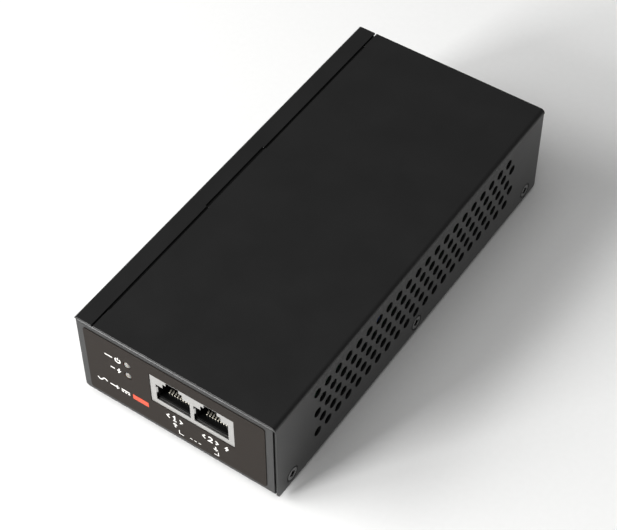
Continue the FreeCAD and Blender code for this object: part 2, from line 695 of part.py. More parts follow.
def main_board():
    board = block((-MAIN_HALF_WIDTH, MAIN_HALF_WIDTH), (MAIN_START, MAIN_END),
                  (MAIN_TOP - BOARD, MAIN_TOP), 1.5)
    cutters = leads(standoff_places()[0], BOARD_HOLE, 0, MAIN_TOP + 1)
    cutters += square_pins(link_places(), LINK_PIN + 2 * PIN_CLEARANCE, 0, MAIN_TOP + 1)
    return board.cut(cutters)


def data_board():
    board = block((-DATA_HALF_WIDTH, DATA_HALF_WIDTH), (DATA_START, DATA_END),
                  (DATA_TOP - BOARD, DATA_TOP), 1.5)
    cutters = leads(standoff_places()[1], BOARD_HOLE, 0, DATA_TOP + 1)
    cutters += square_pins(link_places(), LINK_PIN + 2 * PIN_CLEARANCE, 0, DATA_TOP + 1)
    for centre in PORT_CENTRES:
        for k in range(CONTACTS):
            place = (contact_x(centre, k), LEAD_ROWS[k % 2])
            side = max(CONTACT_WIDTH, LEAD_THICKNESS) + 2 * PIN_CLEARANCE
            cutters += square_pins([place], side, 0, DATA_TOP + 1)
    return board.cut(cutters)


def link_header():
    first, last = link_places()[0][0], link_places()[-1][0]
    half = LINK_BODY_WIDTH / 2
    body = block((first - 1.27, last + 1.27), (LINK_DEPTH - half, LINK_DEPTH + half),
                 (MAIN_TOP, DATA_TOP - BOARD))
    return body.cut(square_pins(link_places(), LINK_PIN + 2 * PIN_CLEARANCE, 0, DATA_TOP + 1))


def link_pins():
    return group(square_pins(link_places(), LINK_PIN, MAIN_TOP - BOARD - LINK_TAILS[0],
                             DATA_TOP + LINK_TAILS[1]))


# ================================================================ socket block
def port_outline(centre, grow=0.0):
    """The stepped opening for a plug with its latch upwards."""
    wide, step, latch = (w / 2 + grow for w in (PORT_WIDTH, STEP_WIDTH, LATCH_WIDTH))
    return [(centre - wide, PORT_FLOOR), (centre + wide, PORT_FLOOR),
            (centre + wide, PORT_SHOULDER), (centre + step, PORT_SHOULDER),
            (centre + step, STEP_HEIGHT), (centre + latch, STEP_HEIGHT),
            (centre + latch, LATCH_HEIGHT), (centre - latch, LATCH_HEIGHT),
            (centre - latch, STEP_HEIGHT), (centre - step, STEP_HEIGHT),
            (centre - step, PORT_SHOULDER), (centre - wide, PORT_SHOULDER)]


def jack_shield():
    half = JACK_WIDTH / 2
    x = (PORT_CENTRE_X - half, PORT_CENTRE_X + half)
    outer = block(x, (0.0, JACK_DEPTH), (JACK_BOTTOM, JACK_TOP), 0.3, "depth")
    inner = block((x[0] + SHIELD, x[1] - SHIELD), (SHIELD, JACK_DEPTH - SHIELD),
                  (JACK_BOTTOM - 1, JACK_TOP - SHIELD))
    shell = outer.cut(inner)
    shell = shell.cut([slab(port_outline(centre), "depth", -1, SHIELD + 0.5) for centre in PORT_CENTRES])
    pieces = [shell]
    for centre in PORT_CENTRES:
        half_port = PORT_WIDTH / 2
        lip_back = HOUSING_SETBACK - LEAD_CLEARANCE
        fold = PORT_FLOOR - LIP_DROP
        lip = [(0.0, fold - SHIELD), (lip_back, fold - SHIELD), (lip_back, PORT_FLOOR),
               (lip_back - SHIELD, PORT_FLOOR), (lip_back - SHIELD, fold), (0.0, fold)]
        pieces.append(slab(lip, "x", centre - half_port + 0.3, centre + half_port - 0.3))
        for side in (-1, 1):
            edge = centre + side * half_port
            spring = [(edge, 0.0), (edge + side * SHIELD, 0.0), (edge + side * SHIELD, 0.9),
                      (edge - side * (SPRING_TAB_BULGE - SHIELD), 0.9),
                      (edge - side * SPRING_TAB_BULGE, 0.75), (edge - side * SPRING_TAB_BULGE, 0.45)]
            pieces.append(slab(spring, "height", 18.8, 21.4))
    return join(pieces)


def jack_housing():
    half = JACK_WIDTH / 2 - SHIELD - LEAD_CLEARANCE
    body = block((PORT_CENTRE_X - half, PORT_CENTRE_X + half),
                 (HOUSING_SETBACK, JACK_DEPTH - SHIELD - LEAD_CLEARANCE),
                 (DATA_TOP, JACK_TOP - SHIELD - LEAD_CLEARANCE))
    cutters = []
    for centre in PORT_CENTRES:
        wide = CAVITY_WIDTH / 2
        cutters.append(block((centre - wide, centre + wide), (0, CAVITY_DEPTH),
                             (CAVITY_FLOOR, PORT_SHOULDER)))
        for width, top in ((STEP_WIDTH, STEP_HEIGHT), (LATCH_WIDTH, JACK_TOP)):
            cutters.append(block((centre - width / 2, centre + width / 2), (0, LATCH_DEPTH),
                                 (PORT_SHOULDER - 1, top)))
        for k in range(CONTACTS):
            cutters.append(contact_lead(centre, k, LEAD_CLEARANCE))
    return body.cut(cutters)


def contact_x(centre, k):
    return centre + (k - (CONTACTS - 1) / 2) * CONTACT_PITCH


def contact_lead(centre, k, grow=0.0):
    """A fixed lead: up under the spring contact's eye, back inside the floor, down through the board."""
    x = contact_x(centre, k)
    half = CONTACT_WIDTH / 2 + grow
    t = LEAD_THICKNESS / 2 + grow
    top = CONTACT_EYE_HEIGHT - CONTACT_EYE_RADIUS - CONTACT_GAP + 4 * grow
    front, back = CONTACT_EYE_DEPTH, LEAD_ROWS[k % 2]
    tail = DATA_TOP - LEAD_TAIL - 2 * grow
    outline = [(front - t, LEAD_HEIGHT - t), (back - t, LEAD_HEIGHT - t), (back - t, tail),
               (back + t, tail), (back + t, LEAD_HEIGHT + t), (front + t, LEAD_HEIGHT + t),
               (front + t, top), (front - t, top)]
    return slab(outline, "x", x - half, x + half)


def contact_leads():
    return group([contact_lead(centre, k) for centre in PORT_CENTRES for k in range(CONTACTS)])


def spring_contacts(centre):
    """Eight spring contacts, each a strip that rises from a round eye on the hinge axis."""
    wires = []
    rise = math.radians(CONTACT_RISE)
    dx, dz = math.cos(rise), math.sin(rise)
    t = CONTACT_THICKNESS / 2
    d0, z0 = CONTACT_EYE_DEPTH, CONTACT_EYE_HEIGHT
    d1, z1 = d0 + CONTACT_LENGTH * dx, z0 + CONTACT_LENGTH * dz
    drop = math.radians(-30)
    d2, z2 = d1 + CONTACT_TIP * math.cos(drop), z1 + CONTACT_TIP * math.sin(drop)
    path = [(d0, z0 - t), (d1, z1 - t), (d2, z2 - t)]
    for k in range(CONTACTS):
        x = contact_x(centre, k)
        strip = folded_sheet(path, CONTACT_THICKNESS, 0.3, "x", x - CONTACT_WIDTH / 2, x + CONTACT_WIDTH / 2)
        eye = rod("x", (d0, z0), CONTACT_EYE_RADIUS, x - CONTACT_WIDTH / 2, x + CONTACT_WIDTH / 2)
        wires.append(join([strip, eye]))
    return group(wires)


def data_in_contacts():
    return spring_contacts(PORT_CENTRES[0])


def poe_out_contacts():
    return spring_contacts(PORT_CENTRES[1])


# ================================================================ indicators
def led_holder():
    half = LED_HOLDER_WIDTH / 2
    back = LED_HOLDER_FRONT + LED_HOLDER_DEPTH
    body = block((LED_X - half, LED_X + half), (LED_HOLDER_FRONT, back),
                 (DATA_TOP, LED_HEIGHTS[0] + 2.6), 0.3)
    bores = [rod("depth", (LED_X, height), LED_RADIUS + LED_BORE_CLEARANCE, LED_HOLDER_FRONT - 1, back - 1.5)
             for height in LED_HEIGHTS]
    return body.cut(bores)


def indicator(height):
    tip = -LABEL_THICKNESS - LED_PROUD
    back = LED_HOLDER_FRONT + LED_HOLDER_DEPTH - 1.6
    lens = rod("depth", (LED_X, height), LED_RADIUS, tip, back)
    rim = [e for e in lens.Edges if len(e.Vertexes) == 1 and e.CenterOfMass.y < FRONT_Y]
    return lens.makeFillet(0.8, rim)


def power_led():
    return indicator(LED_HEIGHTS[0])


def poe_led():
    return indicator(LED_HEIGHTS[1])


# ================================================================ mains inlet
def inlet_outline(width, height, chamfer):
    w, h = width / 2, height / 2
    return [(INLET_X - w, INLET_HEIGHT - h), (INLET_X + w, INLET_HEIGHT - h),
            (INLET_X + w, INLET_HEIGHT + h - chamfer), (INLET_X + w - chamfer, INLET_HEIGHT + h),
            (INLET_X - w + chamfer, INLET_HEIGHT + h), (INLET_X - w, INLET_HEIGHT + h - chamfer)]


def blade_places():
    return [(INLET_X - BLADE_PITCH, INLET_HEIGHT - BLADE_OFFSET),
            (INLET_X + BLADE_PITCH, INLET_HEIGHT - BLADE_OFFSET),
            (INLET_X, INLET_HEIGHT + BLADE_OFFSET)]


def blade_section(place, size, grow=0.0):
    half_x, half_z = size[0] / 2 + grow, size[1] / 2 + grow
    return rectangle((place[0] - half_x, place[0] + half_x), (place[1] - half_z, place[1] + half_z))


def inlet_housing():
    w, h = INLET_FLANGE[0] / 2, INLET_FLANGE[1] / 2
    run, end = INLET_FLANGE_TAPER
    quarter = [(w, end), (w - run, h)]
    corners = [(x, z) for x, z in quarter] + [(-x, z) for x, z in quarter[::-1]]
    corners += [(-x, -z) for x, z in quarter] + [(x, -z) for x, z in quarter[::-1]]
    outline = [(INLET_X + x, INLET_HEIGHT + z) for x, z in corners]
    flange = slab(outline, "depth", CASE_LENGTH, INLET_FACE, INLET_FLANGE_CORNER)
    body = slab(inlet_outline(INLET_BODY[0], INLET_BODY[1], INLET_CHAMFER + INLET_WALL_CHAMFER), "depth",
                INLET_BODY_END, CASE_LENGTH, INLET_BODY_CORNER)
    cavity = slab(inlet_outline(INLET_CAVITY[0], INLET_CAVITY[1], INLET_CHAMFER), "depth",
                  INLET_CAVITY_END, INLET_FACE + 1, INLET_CAVITY_CORNER)
    cutters = [cavity]
    for place in inlet_fix_places():
        cutters.append(rod("depth", place, SCREW_RADIUS + SCREW_CLEARANCE, CASE_LENGTH - 1, INLET_FACE + 1))
    for place in blade_places():
        cutters.append(slab(blade_section(place, BLADE, BLADE_CLEARANCE), "depth",
                            INLET_BODY_END - 1, INLET_CAVITY_END + 1))
    return join([flange, body]).cut(cutters)


def inlet_blades():
    blades = []
    for place in blade_places():
        nose = INLET_CAVITY_END + BLADE_FREE
        blade = slab(blade_section(place, BLADE), "depth", INLET_BODY_END, nose)
        edges = [e for e in blade.Edges if e.BoundBox.YMin > FRONT_Y + nose - 1e-6]
        blade = blade.makeChamfer(BLADE_NOSE, edges)
        tail = slab(blade_section(place, TAIL), "depth", TAIL_END, INLET_BODY_END)
        blades.append(join([blade, tail]))
    return group(blades)


def inlet_screws():
    length = INLET_FLANGE_THICKNESS + SHEET + NUT_HEIGHT + SCREW_PROUD
    return group([pan_screw("depth", place, INLET_FACE, -1, length) for place in inlet_fix_places()])


def nut(place, high):
    body = hexagon("depth", place, NUT_RADIUS, high - NUT_HEIGHT, high)
    return body.cut(rod("depth", place, SCREW_RADIUS + SCREW_CLEARANCE, high - NUT_HEIGHT - 1, high + 1))


def inlet_nuts():
    return group([nut(place, REAR_INSIDE) for place in inlet_fix_places()])


def earth_screw():
    return pan_screw("depth", (EARTH_X, EARTH_HEIGHT), REAR_FACE, -1,
                     SHEET + LUG_THICKNESS + NUT_HEIGHT + SCREW_PROUD)


def earth_nut():
    return nut((EARTH_X, EARTH_HEIGHT), REAR_INSIDE - LUG_THICKNESS)


def earth_lug():
    """A ring terminal: a ring on the screw, a neck up the panel and a barrel round the wire."""
    centre = (EARTH_X, EARTH_HEIGHT)
    plate = (REAR_INSIDE - LUG_THICKNESS, REAR_INSIDE)
    low, high = EARTH_HEIGHT + LUG_BARREL[0], EARTH_HEIGHT + LUG_BARREL[1]
    axis = (EARTH_X, EARTH_WIRE_DEPTH)
    ring = rod("depth", centre, LUG_RADIUS, *plate)
    neck = block((EARTH_X - LUG_BARREL_RADIUS, EARTH_X + LUG_BARREL_RADIUS), plate, (EARTH_HEIGHT, low + 1))
    barrel = rod("height", axis, LUG_BARREL_RADIUS, low, high)
    hole = rod("depth", centre, SCREW_RADIUS + SCREW_CLEARANCE, plate[0] - 1, plate[1] + 1)
    seat = rod("height", axis, WIRE_RADIUS + SCREW_CLEARANCE, low + 1, high + 1)
    behind = block((EARTH_X - LUG_RADIUS, EARTH_X + LUG_RADIUS), (REAR_INSIDE, REAR_FACE + 2),
                   (0, CASE_HEIGHT))
    return join([ring, neck, barrel]).cut([hole, seat, behind])


def wire(points, radius=WIRE_RADIUS):
    """A round wire along straight runs joined by tangent arcs."""
    spots = [at(*p) for p in points]
    start = spots[0]
    edges = []
    for i in range(1, len(spots) - 1):
        back = spots[i - 1] - spots[i]
        ahead = spots[i + 1] - spots[i]
        run = 0.45 * min(back.Length, ahead.Length)
        half = back.getAngle(ahead) / 2
        bend = run * math.tan(half)
        back.normalize()
        ahead.normalize()
        middle = back + ahead
        middle.normalize()
        entry = spots[i] + back * run
        leave = spots[i] + ahead * run
        crown = spots[i] + middle * (bend / math.sin(half) - bend)
        edges.append(Part.LineSegment(start, entry).toShape())
        edges.append(Part.Arc(entry, crown, leave).toShape())
        start = leave
    edges.append(Part.LineSegment(start, spots[-1]).toShape())
    route = Part.Wire(edges)
    ring = Part.Wire(Part.makeCircle(radius, spots[0], spots[1] - spots[0]))
    return route.makePipeShell([ring], True, False)


def boxed(centre, size, low):
    """The three (low, high) pairs of a box that stands on a height, centred on an (x, depth) place."""
    half_x, half_d = size[0] / 2, size[1] / 2
    return ((centre[0] - half_x, centre[0] + half_x), (centre[1] - half_d, centre[1] + half_d),
            (low, low + size[2]))


def mains_header():
    x, depth, height = boxed((PLUG_X, PLUG_DEPTH), MAINS_HEADER, MAIN_TOP)
    foot = block(x, depth, height)
    lock = block(x, (depth[1] - LOCK_WALL, depth[1]), (MAIN_TOP, MAIN_TOP + LOCK_HEIGHT))
    return join([foot, lock])


def mains_plug():
    body = block(*boxed((PLUG_X, PLUG_DEPTH), MAINS_PLUG, MAIN_TOP + MAINS_HEADER[2]), 0.4)
    seats = leads([(PLUG_X + side * PLUG_PITCH / 2, PLUG_DEPTH) for side in (-1, 1)],
                  WIRE_RADIUS + SCREW_CLEARANCE, PLUG_TOP - PLUG_SEAT, PLUG_TOP + 1)
    return body.cut(seats)


def mains_wire(side):
    """From a blade's tail forward, up and over, and down into the mains plug."""
    x, height = blade_places()[0 if side < 0 else 1]
    reach = PLUG_X + side * PLUG_PITCH / 2
    top = WIRE_LOOP + side * WIRE_SPREAD
    turn = TAIL_END - 7.0 - side * WIRE_SPREAD
    return wire([(x, TAIL_END, height), (x, turn, height), (x - 7.0, turn, top),
                 (reach, PLUG_DEPTH - 9.0, top + 1.0), (reach, PLUG_DEPTH, top - 1.0),
                 (reach, PLUG_DEPTH, PLUG_TOP - PLUG_SEAT)])


def line_wire():
    return mains_wire(-1)


def neutral_wire():
    return mains_wire(1)


def earth_wire():
    x, height = blade_places()[2]
    return wire([(x, TAIL_END, height), (x, TAIL_END - 4.0, height),
                 (x + 14.0, TAIL_END - 2.0, height + 8.0),
                 (EARTH_X - 4.0, TAIL_END + 8.0, height + 9.5),
                 (EARTH_X, EARTH_WIRE_DEPTH - 4.0, height + 8.5),
                 (EARTH_X, EARTH_WIRE_DEPTH, height + 3.5),
                 (EARTH_X, EARTH_WIRE_DEPTH, EARTH_HEIGHT + 6.5)])


# ================================================================ mains filter
def disc(centre, radius, thickness):
    """A coated disc standing across the board on two leads, its axis along depth."""
    height = MAIN_TOP + DISC_LIFT + radius
    body = rod("depth", (centre[0], height), radius, centre[1] - thickness / 2, centre[1] + thickness / 2)
    body = body.makeFillet(thickness * 0.3, [e for e in body.Edges if len(e.Vertexes) == 1])
    pins = leads([(centre[0] + side * radius * 0.6, centre[1]) for side in (-1, 1)], DISC_LEAD_RADIUS,
                 MAIN_TOP, height - radius * 0.5)
    return join([body] + pins)


def fuse():
    return rod("height", FUSE, FUSE_RADIUS, MAIN_TOP, MAIN_TOP + FUSE_HEIGHT)


def varistor():
    return disc(VARISTOR, VARISTOR_RADIUS, VARISTOR_THICKNESS)


def thermistor():
    return disc(THERMISTOR, THERMISTOR_RADIUS, THERMISTOR_THICKNESS)


def film_capacitor():
    return block(*boxed(FILM_CAPACITOR, FILM_CAPACITOR_SIZE, MAIN_TOP), 0.6)


def y_capacitors():
    return group([disc(place, Y_CAPACITOR_RADIUS, Y_CAPACITOR_THICKNESS) for place in Y_CAPACITORS])


def choke_centre():
    return CHOKE[0], MAIN_TOP + CHOKE_BASE[2] + CHOKE_SEAT + CHOKE_RADIUS


def choke_base():
    return block(*boxed(CHOKE, CHOKE_BASE, MAIN_TOP), 1.0)


def ring(centre, outer, inner, low, high):
    """A flat-sided ring with its axis along depth."""
    return rod("depth", centre, outer, low, high).cut(rod("depth", centre, inner, low - 1, high + 1))


def choke_core():
    return ring(choke_centre(), CHOKE_RADIUS, CHOKE_HOLE,
                CHOKE[1] - CHOKE_WIDTH / 2, CHOKE[1] + CHOKE_WIDTH / 2)


def choke_windings():
    """Two windings, one over each side of the ring, as sleeves with the core's own hollow."""
    x, height = choke_centre()
    low, high = CHOKE[1] - CHOKE_WIDTH / 2, CHOKE[1] + CHOKE_WIDTH / 2
    gap = WINDING_CLEARANCE
    outer = ring((x, height), CHOKE_RADIUS + CHOKE_WIRE, CHOKE_HOLE - CHOKE_WIRE,
                 low - CHOKE_WIRE, high + CHOKE_WIRE)
    core = ring((x, height), CHOKE_RADIUS + gap, CHOKE_HOLE - gap, low - gap, high + gap)
    sleeve = outer.cut(core)
    reach = 2 * CHOKE_RADIUS
    sides = []
    for side in (-1, 1):
        wedge = slab([(x, height), (x + side * reach, height - reach * WINDING_SLOPE),
                      (x + side * reach, height + reach * WINDING_SLOPE)], "depth",
                     low - 2 * CHOKE_WIRE, high + 2 * CHOKE_WIRE)
        sides.append(sleeve.common(wedge))
    return group(sides)


def bridge_rectifier():
    body = block(*boxed(BRIDGE, BRIDGE_SIZE, MAIN_TOP + BRIDGE_LIFT), 0.4)
    first = BRIDGE[0] - BRIDGE_LEAD_PITCH * (BRIDGE_LEADS - 1) / 2
    pins = leads([(first + BRIDGE_LEAD_PITCH * k, BRIDGE[1]) for k in range(BRIDGE_LEADS)],
                 BRIDGE_LEAD_RADIUS, MAIN_TOP, MAIN_TOP + BRIDGE_LIFT + 1)
    return join([body] + pins)


# ================================================================ power stage
def can(centre, radius, height):
    """An electrolytic capacitor's can, round-edged at the top, with a rolled groove near its foot."""
    body = rod("height", centre, radius, MAIN_TOP, MAIN_TOP + height)
    top = [e for e in body.Edges if len(e.Vertexes) == 1 and e.CenterOfMass.z > BOTTOM_Z + MAIN_TOP + 1]
    body = body.makeFillet(0.8, top)
    lift_up, tool, outside = CAN_GROOVE
    return body.cut(Part.makeTorus(radius + outside, tool, at(centre[0], centre[1], MAIN_TOP + lift_up)))


def bulk_capacitor():
    return can(BULK_CAPACITOR, BULK_RADIUS, BULK_HEIGHT)


def output_capacitors():
    return group([can(place, OUTPUT_RADIUS, OUTPUT_HEIGHT) for place in OUTPUT_CAPACITORS])


def transformer_core():
    """Two half-cores that meet at mid height: outer legs and a round centre limb each."""
    low = MAIN_TOP + CORE_LIFT
    middle = low + CORE_SIZE[2] / 2
    high = low + CORE_SIZE[2]
    window_low, window_high = low + CORE_LEG, high - CORE_LEG
    halves = []
    for bottom, top, hollow_low, hollow_high in ((low, middle, window_low, middle),
                                                 (middle, high, middle, window_high)):
        full = block(*boxed(TRANSFORMER, (CORE_SIZE[0], CORE_SIZE[1], top - bottom), bottom))
        hollow = rod("height", TRANSFORMER, BOBBIN_RADIUS + CORE_WINDOW_CLEARANCE, hollow_low, hollow_high)
        limb = rod("height", TRANSFORMER, CORE_LIMB_RADIUS, hollow_low, hollow_high)
        halves.append(full.cut(hollow.cut(limb)))
    return group(halves)


def transformer_bobbin():
    """A reel round the centre limb, bridged to a rail of pins in front of and behind the core."""
    x, d = TRANSFORMER
    low = MAIN_TOP + CORE_LIFT + CORE_LEG + BOBBIN_CLEARANCE
    high = MAIN_TOP + CORE_LIFT + CORE_SIZE[2] - CORE_LEG - BOBBIN_CLEARANCE
    bore = CORE_LIMB_RADIUS + BOBBIN_CLEARANCE
    reel = join([rod("height", TRANSFORMER, bore + BOBBIN_WALL, low, high),
                 rod("height", TRANSFORMER, BOBBIN_RADIUS, low, low + BOBBIN_WALL),
                 rod("height", TRANSFORMER, BOBBIN_RADIUS, high - BOBBIN_WALL, high)])
    pieces = [reel.cut(rod("height", TRANSFORMER, bore, low - 1, high + 1))]
    near = CORE_SIZE[1] / 2 + BOBBIN_CLEARANCE
    for side in (-1, 1):
        rail = tuple(sorted((d + side * near, d + side * (near + BOBBIN_RAIL[1]))))
        neck = tuple(sorted((d + side * (bore + BOBBIN_WALL), d + side * (near + 1.0))))
        pieces.append(block((x - BOBBIN_RAIL[0] / 2, x + BOBBIN_RAIL[0] / 2), rail,
                            (MAIN_TOP + BOBBIN_STAND, MAIN_TOP + BOBBIN_STAND + BOBBIN_RAIL[2]), 0.4))
        pieces.append(block((x - CORE_LIMB_RADIUS, x + CORE_LIMB_RADIUS), neck, (low, low + BOBBIN_WALL)))
        first = x - BOBBIN_PIN_PITCH * (BOBBIN_PINS - 1) / 2
        pieces += leads([(first + BOBBIN_PIN_PITCH * k, sum(rail) / 2) for k in range(BOBBIN_PINS)],
                        DISC_LEAD_RADIUS, MAIN_TOP, MAIN_TOP + BOBBIN_STAND)
    return join(pieces).cut(transformer_core())


def transformer_winding():
    low = MAIN_TOP + CORE_LIFT + CORE_LEG + BOBBIN_WALL + 2 * BOBBIN_CLEARANCE
    high = MAIN_TOP + CORE_LIFT + CORE_SIZE[2] - CORE_LEG - BOBBIN_WALL - 2 * BOBBIN_CLEARANCE
    bore = CORE_LIMB_RADIUS + BOBBIN_WALL + 2 * BOBBIN_CLEARANCE
    full = rod("height", TRANSFORMER, WINDING_RADIUS, low, high)
    return full.cut(rod("height", TRANSFORMER, bore, low - 1, high + 1))


def package_hole(axis, centre, face):
    return rod(axis, (centre, PACKAGE_SCREW_HEIGHT), SCREW_RADIUS + SCREW_CLEARANCE, face - 5, face + 5)


def primary_heatsink():
    """An upright plate beside the left wall, its top edge turned outwards."""
    x = PRIMARY_SINK_X
    top = MAIN_TOP + HEATSINK_HEIGHT
    path = [(x, MAIN_TOP), (x, top), (x - HEATSINK - PRIMARY_FLANGE, top)]
    plate = folded_sheet(path, HEATSINK, HEATSINK_BEND, "depth", *PRIMARY_SINK)
    return plate.cut(package_hole("x", TRANSISTOR_DEPTH, x))


def secondary_heatsink():
    """An upright plate across the board, its top edge turned back over the power stage."""
    d = SECONDARY_SINK_DEPTH
    top = MAIN_TOP + HEATSINK_HEIGHT
    path = [(d + SECONDARY_FLANGE, top), (d, top), (d, MAIN_TOP)]
    plate = folded_sheet(path, HEATSINK, HEATSINK_BEND, "x", *SECONDARY_SINK)
    return plate.cut(package_hole("depth", RECTIFIER_X, d))


def power_package(axis, centre, face, away):
    """A plastic power package with its metal tab on a pad against a heatsink, standing on three leads."""
    low = MAIN_TOP + PACKAGE_LIFT
    u = (centre - PACKAGE_TAB[0] / 2, centre + PACKAGE_TAB[0] / 2)

    def piece(span, height):
        span = tuple(sorted(span))
        return block(span, u, height) if axis == "x" else block(u, span, height)

    metal = piece((face, face + away * PACKAGE_TAB[1]), (low, low + PACKAGE_TAB[2]))
    metal = metal.cut(package_hole(axis, centre, face))
    case = piece((face + away * PACKAGE_TAB[1], face + away * PACKAGE_BODY[0]), (low, low + PACKAGE_BODY[1]))
    row = face + away * (PACKAGE_TAB[1] + PACKAGE_BODY[0]) / 2
    spots = [(centre + k * LINK_PITCH, row) for k in (-1, 0, 1)]
    if axis == "x":
        spots = [(v, u) for u, v in spots]
    return group([metal, case] + square_pins(spots, PACKAGE_LEAD, MAIN_TOP, low))


def primary_transistor():
    return power_package("x", TRANSISTOR_DEPTH, PRIMARY_SINK_X + PAD, 1)


def output_rectifier():
    return power_package("depth", RECTIFIER_X, SECONDARY_SINK_DEPTH - PAD, -1)


def insulating_pads():
    low = MAIN_TOP + PACKAGE_LIFT
    height = (low - PAD_MARGIN, low + PACKAGE_TAB[2] + PAD_MARGIN)
    half = PACKAGE_TAB[0] / 2 + PAD_MARGIN
    first = block((PRIMARY_SINK_X, PRIMARY_SINK_X + PAD),
                  (TRANSISTOR_DEPTH - half, TRANSISTOR_DEPTH + half), height)
    second = block((RECTIFIER_X - half, RECTIFIER_X + half),
                   (SECONDARY_SINK_DEPTH - PAD, SECONDARY_SINK_DEPTH), height)
    return group([first.cut(package_hole("x", TRANSISTOR_DEPTH, PRIMARY_SINK_X)),
                  second.cut(package_hole("depth", RECTIFIER_X, SECONDARY_SINK_DEPTH))])


def transistor_screws():
    off = PAD + PACKAGE_TAB[1]
    first = pan_screw("x", (TRANSISTOR_DEPTH, PACKAGE_SCREW_HEIGHT), PRIMARY_SINK_X + off, -1,
                      PACKAGE_SCREW_LENGTH)
    second = pan_screw("depth", (RECTIFIER_X, PACKAGE_SCREW_HEIGHT), SECONDARY_SINK_DEPTH - off, 1,
                       PACKAGE_SCREW_LENGTH)
    return group([first, second])


def output_choke_core():
    """A ferrite drum: a waist between two cheeks."""
    top = MAIN_TOP + DRUM_HEIGHT
    return join([rod("height", DRUM, DRUM_RADIUS, MAIN_TOP, MAIN_TOP + DRUM_CHEEK),
                 rod("height", DRUM, DRUM_RADIUS, top - DRUM_CHEEK, top),
                 rod("height", DRUM, DRUM_WAIST, MAIN_TOP, top)])


def output_choke_winding():
    low = MAIN_TOP + DRUM_CHEEK + WINDING_CLEARANCE
    high = MAIN_TOP + DRUM_HEIGHT - DRUM_CHEEK - WINDING_CLEARANCE
    full = rod("height", DRUM, DRUM_WINDING, low, high)
    return full.cut(rod("height", DRUM, DRUM_WAIST + WINDING_CLEARANCE, low - 1, high + 1))


def chip(centre, size, low, legs, pitch):
    """A moulded chip with a row of legs along each long side."""
    pieces = [block(*boxed(centre, size, low + CHIP_LIFT))]
    for side in (-1, 1):
        edge = centre[1] + side * size[1] / 2
        span = tuple(sorted((edge, edge + side * CHIP_LEG[1])))
        for k in range(legs):
            x = centre[0] + (k - (legs - 1) / 2) * pitch
            pieces.append(block((x - CHIP_LEG[0] / 2, x + CHIP_LEG[0] / 2), span,
                                (low, low + CHIP_LIFT + size[2] / 2)))
    return group(pieces)


def chips(places, size, low, legs, pitch):
    return group([solid for place in places for solid in chip(place, size, low, legs, pitch).Solids])


def optocouplers():
    return chips(OPTOCOUPLERS, OPTOCOUPLER_SIZE, MAIN_TOP, 2, LINK_PITCH)


def lan_transformers():
    return chips(LAN_TRANSFORMERS, LAN_TRANSFORMER_SIZE, DATA_TOP, 12, CHIP_PITCH)


def poe_controller():
    return chips([CONTROLLER], CONTROLLER_SIZE, DATA_TOP, 6, CHIP_PITCH)


# ================================================================ files
SUB_PARTS = [
    base_chassis, top_cover, cover_screws, rubber_feet, front_label, insulating_film,
    main_standoffs, data_standoffs, board_screws, main_board, data_board, link_header, link_pins,
    jack_shield, jack_housing, contact_leads, data_in_contacts, poe_out_contacts,
    led_holder, power_led, poe_led, lan_transformers, poe_controller,
    inlet_housing, inlet_blades, inlet_screws, inlet_nuts, earth_screw, earth_nut, earth_lug,
    mains_header, mains_plug, line_wire, neutral_wire, earth_wire,
    fuse, varistor, thermistor, film_capacitor, y_capacitors,
    choke_base, choke_core, choke_windings, bridge_rectifier, bulk_capacitor,
    primary_heatsink, primary_transistor, secondary_heatsink, output_rectifier,
    insulating_pads, transistor_screws, transformer_core, transformer_bobbin, transformer_winding,
    output_capacitors, output_choke_core, output_choke_winding, optocouplers,
]

os.makedirs("parts", exist_ok=True)
for build in SUB_PARTS:
    shape = build()
    shape.exportStep(f"parts/{build.__name__}.step")
    box = shape.BoundBox
    print(f"{build.__name__:22s} solids {len(shape.Solids):3d}  valid {shape.isValid()}  "
          f"volume {shape.Volume:9.1f}  x {box.XMin:7.2f} {box.XMax:7.2f}  "
          f"y {box.YMin:7.2f} {box.YMax:7.2f}  z {box.ZMin:6.2f} {box.ZMax:6.2f}")
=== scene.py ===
# %% [markdown]
# # A mains PoE injector, dressed around its CAD frame
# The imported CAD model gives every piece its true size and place, and this script gives each one the
# look of its real material. It is laid out as a notebook: a note says what a piece or finish is on the
# real object and how it could be made, and the cell after it makes it and prints what it made.

# %% Load the frame
import math

import bmesh
import bpy
import numpy as np
from mathutils import Matrix, Vector


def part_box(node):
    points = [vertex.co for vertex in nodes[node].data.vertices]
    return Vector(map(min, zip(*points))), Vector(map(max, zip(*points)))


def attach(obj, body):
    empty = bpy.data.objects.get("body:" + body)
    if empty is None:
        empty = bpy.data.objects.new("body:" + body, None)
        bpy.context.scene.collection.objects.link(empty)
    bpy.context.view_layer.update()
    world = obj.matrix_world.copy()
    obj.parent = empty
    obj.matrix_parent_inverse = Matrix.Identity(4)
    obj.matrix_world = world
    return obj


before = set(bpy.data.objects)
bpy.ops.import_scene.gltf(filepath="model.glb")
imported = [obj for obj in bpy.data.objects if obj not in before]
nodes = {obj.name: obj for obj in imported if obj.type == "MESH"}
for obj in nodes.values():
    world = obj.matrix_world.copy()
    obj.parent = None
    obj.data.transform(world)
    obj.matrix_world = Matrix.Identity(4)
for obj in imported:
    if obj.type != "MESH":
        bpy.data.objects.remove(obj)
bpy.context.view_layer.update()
MM = 0.001

# %% [markdown]
# ## Landmarks
# Everything below is placed from the frame's own boxes. The base chassis gives the case: its lowest y
# is the front panel's outer face, and its lowest z is the underside of the bottom sheet.

# %% Landmarks read from the frame
chassis_low, chassis_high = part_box("base_chassis")
cover_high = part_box("top_cover")[1]
label_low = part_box("front_label")[0]
shield_low, shield_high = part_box("jack_shield")
front_y = chassis_low.y
under_z = chassis_low.z
case = (cover_high.x - chassis_low.x, chassis_high.y - front_y, cover_high.z - under_z)
print("case, mm:", [round(length / MM, 2) for length in case])

